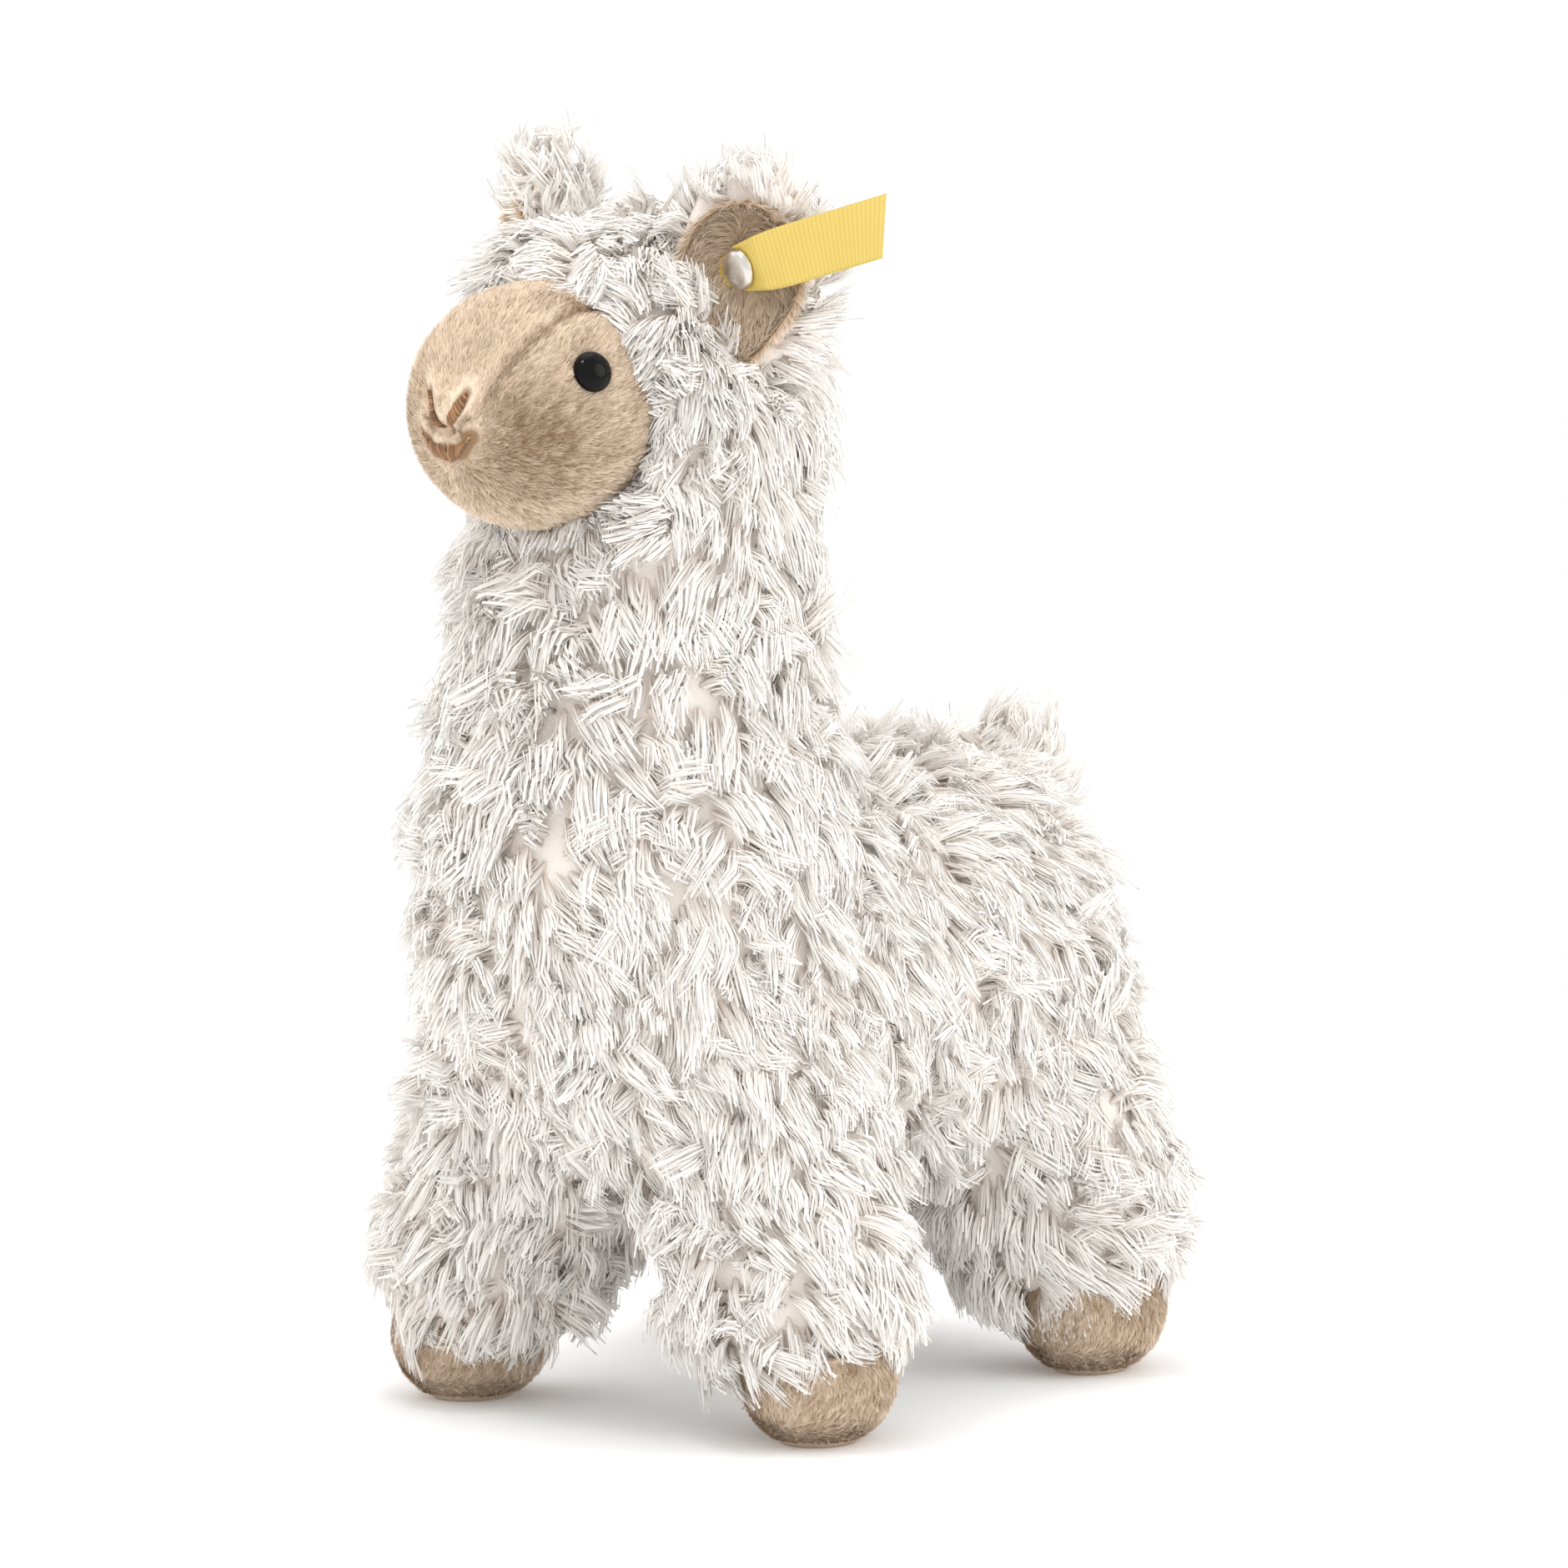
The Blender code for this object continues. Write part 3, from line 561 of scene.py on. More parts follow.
def ball(place, radii, steps):
    """An ellipsoid with its poles on its Z axis."""
    bm = bmesh.new()
    bmesh.ops.create_uvsphere(bm, u_segments=steps[0], v_segments=steps[1], radius=1.0)
    bmesh.ops.scale(bm, vec=radii, verts=bm.verts)
    bmesh.ops.transform(bm, matrix=place, verts=bm.verts)
    return bm


def turned(profile, place=Matrix(), steps=48, join=1e-6):
    """A closed shape turned about Z from a profile of (radius, height) points."""
    bm = bmesh.new()
    verts = [bm.verts.new((r, 0, z)) for r, z in profile]
    edges = [bm.edges.new(pair) for pair in zip(verts, verts[1:])]
    bmesh.ops.spin(bm, geom=verts + edges, cent=(0, 0, 0), axis=(0, 0, 1), dvec=(0, 0, 0),
                   angle=2 * math.pi, steps=steps, use_merge=True, use_duplicate=False)
    bmesh.ops.remove_doubles(bm, verts=bm.verts, dist=join)
    bmesh.ops.recalc_face_normals(bm, faces=bm.faces)
    bmesh.ops.transform(bm, matrix=place, verts=bm.verts)
    return bm


def cut_off(bm, point, out):
    """Removes what lies on the out side of a plane through point."""
    bmesh.ops.bisect_plane(bm, geom=bm.verts[:] + bm.edges[:] + bm.faces[:], plane_co=point,
                           plane_no=out, clear_outer=True)


def steady(bm):
    """The same shape with its points and faces in an order that only their places decide. The
    operators leave an order that can change from run to run, and the nap's places with it."""
    bm.verts.sort(key=lambda v: v.co.dot(SORT_WAY))
    bm.verts.index_update()
    rings = []
    for face in bm.faces:
        ring = [v.index for v in face.verts]
        first = ring.index(min(ring))
        rings.append(ring[first:] + ring[:first])
    fresh = bmesh.new()
    verts = [fresh.verts.new(v.co) for v in bm.verts]
    for ring in sorted(rings):
        fresh.faces.new([verts[i] for i in ring])
    fresh.verts.index_update()
    fresh.faces.index_update()
    bm.free()
    return fresh


def open_edges(bm):
    return [e for e in bm.edges if e.is_boundary]


def bell(distance, width, power=2):
    """1 at no distance, falling smoothly to nothing beyond width."""
    return np.exp(-((distance / width) ** power))


def nearest(points, marks):
    """How far each point is from the nearest of marks, and which one that is."""
    tree = KDTree(len(marks))
    for k, mark in enumerate(marks):
        tree.insert(mark, k)
    tree.balance()
    found = [tree.find(point) for point in points]
    return np.array([f[2] for f in found]), np.array([f[1] for f in found])


def moved(points, place):
    """The points, given in place's own axes, where they are in the scene."""
    turn = np.array(place)
    return points @ turn[:3, :3].T + turn[:3, 3]


def inside(points, place, radii):
    """How far out each point lies in an ellipsoid (below 1 is inside), and where on its axes."""
    local = moved(points, place.inverted())
    return np.linalg.norm(local / np.array(radii), axis=-1), local


def pushed_out(points, place, radii, margin):
    """Lifts the points that fell into an ellipsoid onto its surface."""
    wide = np.array(radii) + margin
    depth, local = inside(points, place, wide)
    low = depth < 1
    points[low] = moved(local[low] / np.maximum(depth[low], 0.2)[:, None], place)
    return points


# ---------------------------------------------------------------- pile


def spaced(points, order, gap):
    """The indices, taken in order, of points that keep gap between one another."""
    cells, keep = {}, []
    keys = np.floor(points / gap).astype(int).tolist()
    steps = [(x, y, z) for x in (-1, 0, 1) for y in (-1, 0, 1) for z in (-1, 0, 1)]
    for i in order:
        x, y, z = keys[i]
        near = (j for a, b, c in steps for j in cells.get((x + a, y + b, z + c), ()))
        if all(((points[j] - points[i]) ** 2).sum() > gap * gap for j in near):
            cells.setdefault((x, y, z), []).append(i)
            keep.append(i)
    return keep


def scattered(mesh, spacing, rng, share=0.72):
    """Evenly spread random points on a mesh, with their normals."""
    mesh.calc_loop_triangles()
    corners = np.empty(len(mesh.loop_triangles) * 3, np.int32)
    mesh.loop_triangles.foreach_get("vertices", corners)
    corners = corners.reshape(-1, 3)
    points, normals = points_of(mesh), points_of(mesh, "normal")
    a, b, c = (points[corners[:, k]] for k in range(3))
    areas = np.linalg.norm(np.cross(b - a, c - a), axis=1) / 2
    tries = int(areas.sum() / spacing ** 2 * 3)
    pick = np.searchsorted(np.cumsum(areas), rng.random(tries) * areas.sum() * 0.999999)
    first, second = np.sqrt(rng.random(tries)), rng.random(tries)
    weights = np.stack((1 - first, first * (1 - second), first * second), 1)[:, :, None]
    spots = (points[corners[pick]] * weights).sum(1)
    out = unit((normals[corners[pick]] * weights).sum(1))
    keep = spaced(spots, range(tries), spacing * share)
    return spots[keep], out[keep]


LOCK_CORE = ((0.35, 0.0), (0.66, 0.42), (0.0, 0.86))
FIBRE_ARC = math.radians(250)


def lock_template(rng, fibres=15):
    """One lock, one unit long on Z: a slim soft core inside loose tapered fibres."""
    bm = turned(LOCK_CORE, steps=4, join=1e-5)
    for index in range(fibres):
        order = (index * 4) % fibres
        turn = math.pi / 2 + FIBRE_ARC * ((order + rng.random() * 0.8) / fibres - 0.5)
        ring = 0.62 + 0.55 * rng.random()
        start = 0.02 + 0.40 * rng.random()
        end = 0.80 + 0.32 * rng.random()
        flare, sway = 0.05 + 0.40 * rng.random(), rng.normal() * 0.25
        made = bmesh.ops.create_grid(bm, x_segments=1, y_segments=2, size=0.5)["verts"]
        pointed = index % 2 == 0
        thin = [v for v in made if (v.co.y > 0.4 if pointed else v.co.y < -0.4)]
        bmesh.ops.pointmerge(bm, verts=thin, merge_co=(0, 0.5 if pointed else -0.5, 0))
        for v in [v for v in made if v.is_valid]:
            along = v.co.y + 0.5
            across = v.co.x * (0.30 if along < 0.7 else 0.20)
            z = start + (end - start) * along
            x = ring * (0.75 + 0.35 * math.sin(math.pi * z)) + flare * along ** 2
            angle = turn + sway * along + across / max(x, 0.3)
            v.co = (x * math.cos(angle), x * math.sin(angle), z)
    layer = bm.loops.layers.uv.new("strands")
    for face in bm.faces:
        for loop in face.loops:
            co = loop.vert.co
            loop[layer].uv = (math.atan2(co.y, co.x) / (2 * math.pi) + 0.5, co.z)
    return mesh_of("lock_template", bm)


def repeated(name, template, count, maker):
    """A piece of count copies of a template, one on top of the other."""
    bm = bmesh.new()
    bm.from_mesh(template)
    piece = new_piece(name, bm, maker)
    rows = piece.modifiers.new("copies", "ARRAY")
    rows.use_relative_offset = False
    rows.count = count
    return settled(piece)


LOCK_FLATNESS = 0.8
WAVINESS = 0.65 * MM
FRAYING = 0.25 * MM


def bent(piece, template, roots, out, first, last, pull, lengths, widths, shades, rng):
    """Bends each copy from its root along its own way, from first to last."""
    count, size = len(roots), len(template.vertices)
    local = points_of(piece.data).reshape(count, size, 3)
    spin = rng.normal(size=count) * 0.3
    cos, sin = np.cos(spin)[:, None], np.sin(spin)[:, None]
    x = (local[..., 0] * cos - local[..., 1] * sin) * widths[:, None]
    y = (local[..., 0] * sin + local[..., 1] * cos) * widths[:, None] * LOCK_FLATNESS
    z = local[..., 2]
    first, last, out = first[:, None], last[:, None], out[:, None]
    travel = first * (z - z * z / 2)[..., None] + last * (z * z / 2)[..., None]
    way = unit(first * (1 - z)[..., None] + last * z[..., None])
    across = unit(np.cross(out, way))
    above = np.cross(way, across)
    points = roots[:, None] + travel * lengths[:, None, None]
    points = points + across * x[..., None] + above * y[..., None]
    points = points + pull[:, None] * (z * z * (1.6 - 0.6 * z))[..., None]
    phase, wave = rng.random((2, count, 1)) * 2 * math.pi, rng.normal(size=(2, count, 1))
    curl = np.sin(z * 5.5 + phase[0]) * z * wave[0] * WAVINESS
    sway = np.sin(z * 4.5 + phase[1]) * z * wave[1] * WAVINESS
    points = points + across * curl[..., None] + above * sway[..., None]
    loose = np.clip(z - 0.6, 0, 1)[..., None] * FRAYING
    points = points + rng.normal(size=points.shape) * loose
    round_way = (across * x[..., None] + above * y[..., None]) / widths[:, None, None]
    set_attribute(piece.data, "soft", unit(out * 0.9 + round_way * 0.55), "FLOAT_VECTOR")
    set_attribute(piece.data, "reach", np.clip(z, 0, 1))
    set_attribute(piece.data, "shade", np.repeat(shades, size))
    return points.reshape(-1, 3)


def combed(roots, out, comb, rng, lift, hang, fan, stray):
    """The way of each lock at its root and at its tip, grouped in tufts."""
    pile = bpy.context.scene.llama_pile
    gap = pile.tuft
    middles = spaced(roots, rng.permutation(len(roots)), gap * 0.8)
    owner = nearest(roots, roots[middles])[1]
    tuft_way = rng.normal(size=(len(middles), 3))
    tuft_curl = rng.normal(size=(len(middles), 3))
    tuft_lift = rng.random(len(middles))
    away = (roots - roots[middles][owner]) / gap
    level = lambda v: v - out * (v * out).sum(1, keepdims=True)
    down = level(comb)
    first = (
        out * (lift * (0.6 + 0.8 * tuft_lift[owner]))[:, None]
        + down * hang[:, None] * 0.5
        + level(tuft_way[owner]) * stray
        + level(away) * fan
        + level(rng.normal(size=roots.shape)) * 0.10
    )
    last = (
        out * (0.5 * tuft_lift[owner] - 0.25)[:, None]
        + down * hang[:, None] * 1.1
        + level(tuft_curl[owner]) * stray
        + level(away) * fan * 0.5
        + rng.normal(size=roots.shape) * 0.14
    )
    tuft_length = 0.78 + 0.44 * rng.random(len(middles))
    pull = -level(away) * gap * pile.gather
    return unit(first), unit(last), pull, tuft_length[owner]


def grow_pile(name, roots, out, comb, rng, lift=0.75, hang=1.0, fan=0.28, stray=0.55,
              length=1.0, width=1.0, guards=()):
    """Grows one piece of long pile on the given roots."""
    pile = bpy.context.scene.llama_pile
    count = len(roots)
    lift, hang = np.broadcast_to(lift, count), np.broadcast_to(hang, count)
    first, last, pull, tuft_length = combed(roots, out, comb, rng, lift, hang, fan, stray)
    lengths = pile.length * length * tuft_length * (0.9 + 0.2 * rng.random(count))
    widths = pile.width * width * (0.75 + 0.5 * rng.random(count))
    shades = rng.random(count)
    template = lock_template(rng)
    piece = repeated(name, template, count, white_pile)
    points = bent(piece, template, roots, out, first, last, pull, lengths, widths, shades, rng)
    bpy.data.meshes.remove(template)
    for place, radii, margin in guards:
        points = pushed_out(points, place, radii, margin)
    points[:, 2] = np.maximum(points[:, 2], 0.6 * MM)
    set_points(piece.data, points)
    return piece


def merged_copy(node):
    """A copy of a node's mesh with its loose triangles joined."""
    bm = bmesh.new()
    bm.from_mesh(NODES[node].data)
    bmesh.ops.remove_doubles(bm, verts=bm.verts, dist=0.01 * MM)
    return bm


def skin_of(name, bm, voxel, depth, passes):
    """A smooth stuffed skin a little inside the given shape."""
    piece = new_piece(name, bm, pile_cloth)
    remesh = piece.modifiers.new("even_faces", "REMESH")
    remesh.mode, remesh.voxel_size = "VOXEL", voxel
    soften = piece.modifiers.new("soften", "SMOOTH")
    soften.factor, soften.iterations = 0.6, passes
    settled(piece)
    mesh = piece.data
    set_points(mesh, points_of(mesh) - points_of(mesh, "normal") * depth)
    mesh.shade_smooth()
    return piece


class LLAMA_OT_stuffed_skin(bpy.types.Operator):
    """Makes the stuffed body, tail and ear backs that the long pile grows from"""

    bl_idname = "llama.stuffed_skin"
    bl_label = "Stuffed skin"

    def execute(self, context):
        depth = context.scene.llama_pile.skin_depth
        body = skin_of("body_skin", merged_copy("stuffed_body"), 4 * MM, depth, 14)
        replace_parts(body, "stuffed_body")
        for node in ("tail", "ear_back_left", "ear_back_right"):
            skin = skin_of(f"{node}_skin", merged_copy(node), 2 * MM, 1.2 * MM, 6)
            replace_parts(skin, node)
        return {"FINISHED"}


def body_regions(roots):
    """A region's name for each root on the body."""
    x, y, z = roots.T
    x = x - MIDDLE_X
    names = np.full(len(roots), "pile_trunk_left", dtype="U24")
    names[x < 0] = "pile_trunk_right"
    for label, side in SIDES:
        low = (z < LEG_TOP) & (np.sign(x) == side)
        names[low & (y < MIDDLE_Y)] = f"pile_leg_front_{label}"
        names[low & (y >= MIDDLE_Y)] = f"pile_leg_hind_{label}"
    names[(z > NECK_FOOT) & (y < NECK_BACK)] = "pile_neck"
    names[z > HEAD_FOOT] = "pile_head"
    return names


FRINGE_REACH = 1.45  # how far out the denser locks round the face grow, in its radii
HEAD_TOP = np.array(HEAD @ Vector((0, 0.004, 0.04)))  # the head's locks are combed away from it


class LLAMA_OT_long_pile(bpy.types.Operator):
    """Grows the shaggy pile on body, legs, neck and head"""

    bl_idname = "llama.long_pile"
    bl_label = "Long pile"

    def execute(self, context):
        pile = context.scene.llama_pile
        rng = np.random.default_rng(pile.seed)
        skin = bpy.data.objects["body_skin"].data
        roots, out = scattered(skin, pile.spacing, rng)
        more, more_out = scattered(skin, pile.spacing * 0.8, rng)
        fringe = inside(more, FACE, FACE_RADII)[0] < FRINGE_REACH
        for _, side in SIDES:
            fringe |= inside(more, ear_place(side), np.array(EAR_RADII) + 5 * MM)[0] < 1
        roots, out = np.concatenate((roots, more[fringe])), np.concatenate((out, more_out[fringe]))
        bare = inside(roots, FACE, np.array(FACE_RADII) - 0.6 * MM)[0] < 1
        for place in FEET.values():
            bare |= inside(roots, place, np.array(FOOT_RADII) - 0.5 * MM)[0] < 1
        bare |= inside(roots, tail_place(), np.array(TAIL_RADII) - 2 * MM)[0] < 1
        for _, side in SIDES:
            front = ear_place(side) @ Matrix.Translation((0, 0, 0.006))
            bare |= inside(roots, ear_place(side), np.array(EAR_RADII) - 1 * MM)[0] < 1
            bare |= inside(roots, front, EAR_OPENING)[0] < 1
        roots, out = roots[~bare], out[~bare]
        names = body_regions(roots)
        guards = [(FACE, FACE_RADII, 0.5 * MM)]
        guards += [(place, FOOT_RADII, 0.4 * MM) for place in FEET.values()]
        for name in sorted(set(names)):
            mine = names == name
            spots, way = roots[mine], out[mine]
            comb = np.tile((0.0, 0.0, -1.0), (len(spots), 1))
            if name == "pile_head":
                comb = unit(spots - HEAD_TOP) * 0.8 + (0, -0.1, -0.35)
            else:
                comb = comb + np.stack(
                    (np.sign(spots[:, 0]) * 0.25, 0.3 * (spots[:, 1] > 0), 0 * spots[:, 0]), 1
                )
            near = inside(spots, FACE, FACE_RADII)[0]
            edge = np.clip((1.42 - near) / 0.3, 0, 1)[:, None]
            to_face = unit(np.array(FACE.translation) + (0, -0.004, 0) - spots)
            comb = comb * (1 - 0.6 * edge) + to_face * edge * 0.3
            on_top = way[:, 2] > 0.6
            hang, lift = np.where(on_top, 0.45, 0.85), np.where(on_top, 0.75, 0.55)
            grow_pile(name, spots, way, comb, rng, lift=lift, hang=hang,
                      length=1 - 0.3 * edge[:, 0], guards=guards)
        return {"FINISHED"}


class LLAMA_OT_tail_and_ear_pile(bpy.types.Operator):
    """Grows the shaggy pile on the tail and the ears' backs"""

    bl_idname = "llama.tail_and_ear_pile"
    bl_label = "Tail and ear pile"

    def execute(self, context):
        pile = context.scene.llama_pile
        rng = np.random.default_rng(pile.seed + 1)
        tail = bpy.data.objects["tail_skin"].data
        roots, out = scattered(tail, pile.spacing * 0.9, rng)
        axis = np.array(tail_place().to_3x3() @ UP)
        comb = np.tile(axis, (len(roots), 1))
        grow_pile("pile_tail", roots, out, comb, rng, lift=0.7, hang=0.75, length=0.85,
                  width=0.9)
        for label, side in SIDES:
            place = ear_place(side)
            skin = bpy.data.objects[f"ear_back_{label}_skin"].data
            roots, out = scattered(skin, pile.spacing * 0.85, rng)
            _, local = inside(roots, place, EAR_RADII)
            low, pinch, rise = lining_outline(local)
            half = LINING_RADII[0] * pinch
            half = half * np.where(local[:, 0] * side < 0, 1 - 0.45 * np.clip(low * 2.5, 0, 1), 1)
            across = np.hypot(local[:, 0] / half, local[:, 1] / (LINING_RADII[1] * rise))
            front = local[:, 2] > -0.5 * MM
            dish = front & (across < 1.03)
            near = np.where(front, np.clip((across - 0.9) / 0.4, 0.2, 1), 1)
            roots, out, local, near = (v[~dish] for v in (roots, out, local, near[:, None]))
            turn = np.array(place.to_3x3())
            spread = unit(local * (1, 1, 0) + (0, 0.006, 0)) * near @ turn.T
            backwards = -turn[:, 2] * np.abs(near)
            grow_pile(f"pile_ear_{label}", roots, out, spread + backwards * 0.15, rng,
                      lift=0.55, hang=0.9, stray=0.45, length=0.86 - 0.14 * side, width=0.85)
        return {"FINISHED"}


# ---------------------------------------------------------------- nap


def nap_hair():
    """One hair of the short nap: a sliver on Z."""
    bm = bmesh.new()
    corners = [bm.verts.new(co) for co in ((-0.5, 0, 0), (0.5, 0, 0), (0, 0, 1))]
    bmesh.ops.contextual_create(bm, geom=corners)
    return mesh_of("nap_hair", bm)


HAIRS_PER_CLUMP = 8


def grow_nap(name, source, way_of, rng, mask, length=1.0, tilt=0.5, tone_of=None):
    """Grows short hairs on a piece in small clumps, lying the way that way_of gives."""
    nap = bpy.context.scene.llama_nap
    spots, out = scattered(source.data, nap.spacing, rng, 0.5)
    keep = mask(spots, out)
    spots, out = spots[keep], out[keep]
    count = len(spots)
    heads = count // HAIRS_PER_CLUMP
    owner = nearest(spots, spots[:heads])[1]
    way = way_of(spots, out)
    way = unit(way - out * (way * out).sum(1, keepdims=True))
    turn = rng.normal(size=heads)[owner] * 0.22 + rng.normal(size=count) * 0.12
    way = unit(way + np.cross(out, way) * turn[:, None])
    rise = tilt * (0.6 + 0.5 * rng.random(heads)[owner] + 0.3 * rng.random(count))
    along = unit(way + out * rise[:, None])
    template = nap_hair()
    piece = repeated(name, template, count, sand_nap)
    bpy.data.meshes.remove(template)
    local = points_of(piece.data).reshape(count, 3, 3)
    across = unit(np.cross(along, out) + rng.normal(size=along.shape) * 0.15)
    if callable(length):
        length = length(spots)
    lengths = nap.length * length * (0.7 + 0.6 * rng.random(count))
    gather = spots[owner] - spots
    gather -= way * (gather * way).sum(1, keepdims=True)
    points = (
        spots[:, None]
        - out[:, None] * 0.12 * MM
        + across[:, None] * local[..., :1] * nap.width
        + (along * lengths[:, None] + gather * 0.55)[:, None] * local[..., 2:]
    )
    shades = 0.45 * rng.random(heads)[owner] + 0.45 * rng.random(count)
    # On the face, tone_of adds painted light and shade. On the ear linings it makes the hairs
    # lighter toward the bottom.
    if tone_of is not None:
        shades = shades + tone_of(spots)
    set_attribute(piece.data, "reach", local[..., 2])
    set_attribute(piece.data, "shade", np.repeat(shades, 3))
    set_points(piece.data, points.reshape(-1, 3))
    return piece


# ---------------------------------------------------------------- face


def gusset_side(x, y):
    """Where a point lies on the forehead strip's plan: below 1 is inside."""
    across = np.abs(x) / GUSSET_HALF_WIDTH
    front = across ** GUSSET_BULGE + (np.abs(y) / FACE_RADII[1]) ** GUSSET_BULGE
    return np.where(y < 0, front, across)


def seam_lines():
    """Points along the face's seams, on its surface."""
    rx, ry, rz = FACE_RADII
    lines = []
    for side in (1, -1):
        angles = np.linspace(0, math.pi / 2, 90)
        x = side * GUSSET_HALF_WIDTH * np.cos(angles) ** (2 / GUSSET_BULGE)
        y = -ry * np.sin(angles) ** (2 / GUSSET_BULGE)
        back = np.linspace(0, 0.016, 40)
        x = np.concatenate((np.full(40, side * GUSSET_HALF_WIDTH), x))
        y = np.concatenate((back, y))
        z = rz * np.sqrt(np.maximum(0, 1 - (x / rx) ** 2 - (y / ry) ** 2))
        lines.append(np.stack((x, y, z), 1))
    across = np.linspace(-GUSSET_HALF_WIDTH, GUSSET_HALF_WIDTH, 60)
    z = np.full(60, GUSSET_SILL)
    front = -ry * np.sqrt(np.maximum(0, 1 - (across / rx) ** 2 - (z / rz) ** 2))
    lines.append(np.stack((across, front, z), 1)[20:40])
    down = np.linspace(-0.05, -math.pi * 0.62, 90)
    lines.append(np.stack((0 * down, -ry * np.cos(down), rz * np.sin(down)), 1))
    return lines


def nose_line(*corners):
    """Points on the face's surface through (across, height) corners seen from the front."""
    rx, ry, rz = FACE_RADII
    spots = []
    for (x0, z0), (x1, z1) in zip(corners, corners[1:]):
        for t in np.linspace(0, 1, 20):
            x, z = x0 + (x1 - x0) * t, z0 + (z1 - z0) * t
            spots.append((x, -ry * math.sqrt(max(0, 1 - (x / rx) ** 2 - (z / rz) ** 2)), z))
    return np.array(spots)


# The nose's lines as (across, height) corners seen from the front.
NOSE_SHIFT = -0.0006
NOSTRIL = ((0.0052, 0.0076), (0.0034, 0.0040), (0.0009, 0.0004))
MOUTH = ((-0.0061, -0.0008), (-0.0036, -0.0038), (0.0, -0.0044), (0.0036, -0.0038),
         (0.0061, -0.0008))
SIDE_CREASE = ((0.0080, 0.0090), (0.0072, 0.0060), (0.0075, 0.0012), (0.0070, -0.0040))


def mirrored(corners, side):
    return [(NOSE_SHIFT + side * x, z) for x, z in corners]


# Each line's points, depth as a share of a seam's, and width in millimetres: nostrils, the
# creases beside the nose, the mouth, and the short line above it.
CREASES = (
    (nose_line(*mirrored(NOSTRIL, 1)), 0.9, 1.5),
    (nose_line(*mirrored(NOSTRIL, -1)), 0.9, 1.5),
    (nose_line(*mirrored(SIDE_CREASE, 1)), 0.6, 0.9),
    (nose_line(*mirrored(SIDE_CREASE, -1)), 0.6, 0.9),
    (nose_line(*mirrored(MOUTH, 1)), 0.7, 1.5),
    (nose_line((NOSE_SHIFT, 0.0002), (NOSE_SHIFT, -0.0024)), 0.9, 0.8),
)
# The creases that are stitched, how far hairs keep off them and how wide the painted shade
# beside them reaches, in millimetres.
STITCHED = ((0, 1.25, 1.2), (1, 1.25, 1.2), (4, 1.7, 1.9))
# Padding beside and above the mouth: across, height, width and rise in millimetres.
LOBES = ((0.0044, 0.0010, 2.4, 1.1), (0.0012, 0.0062, 2.0, 0.6))


def sewn(local):
    """Pulls the face's cloth in along its seams and stitches, and puffs it between them."""
    depth = bpy.context.scene.llama_nap.seam_depth
    out = unit(local / np.array(FACE_RADII) ** 2)
    sunk = np.zeros(len(local))
    for line, strength in zip(seam_lines(), (1.0, 1.0, 0.5, 0.35)):
        near, _ = nearest(local, line)
        sunk += depth * strength * bell(near, 1.1 * MM)
        sunk -= 0.35 * MM * strength * bell(near - 3.6 * MM, 2.2 * MM)
    for line, strength, width in CREASES:
        near, _ = nearest(local, line)
        sunk += depth * strength * bell(near, width * MM)
    for side in (1, -1):
        eye = np.array(FACE.inverted() @ eye_place(side).translation)
        near = np.linalg.norm(local - eye, axis=1)
        sunk += 1.0 * MM * bell(near, 5.0 * MM)
        for x, z, width, height in LOBES:
            middle = nose_line((NOSE_SHIFT + side * x, z), (NOSE_SHIFT + side * x, z))[0]
            near = np.linalg.norm(local - middle, axis=1)
            sunk -= height * MM * bell(near, width * MM)
    return local - out * sunk[:, None]


def face_panel_of(local):
    """0 on the forehead strip, 1 on the left cheek, 2 on the right one."""
    x, y, z = local.T
    strip = (gusset_side(x, y) < 1) & (z > GUSSET_SILL)
    return np.where(strip, 0, np.where(x >= 0, 1, 2))


PANELS = (("face_forehead_strip", "face_gusset"), ("face_left_cheek", "face_cheek_left"),
          ("face_right_cheek", "face_cheek_right"))


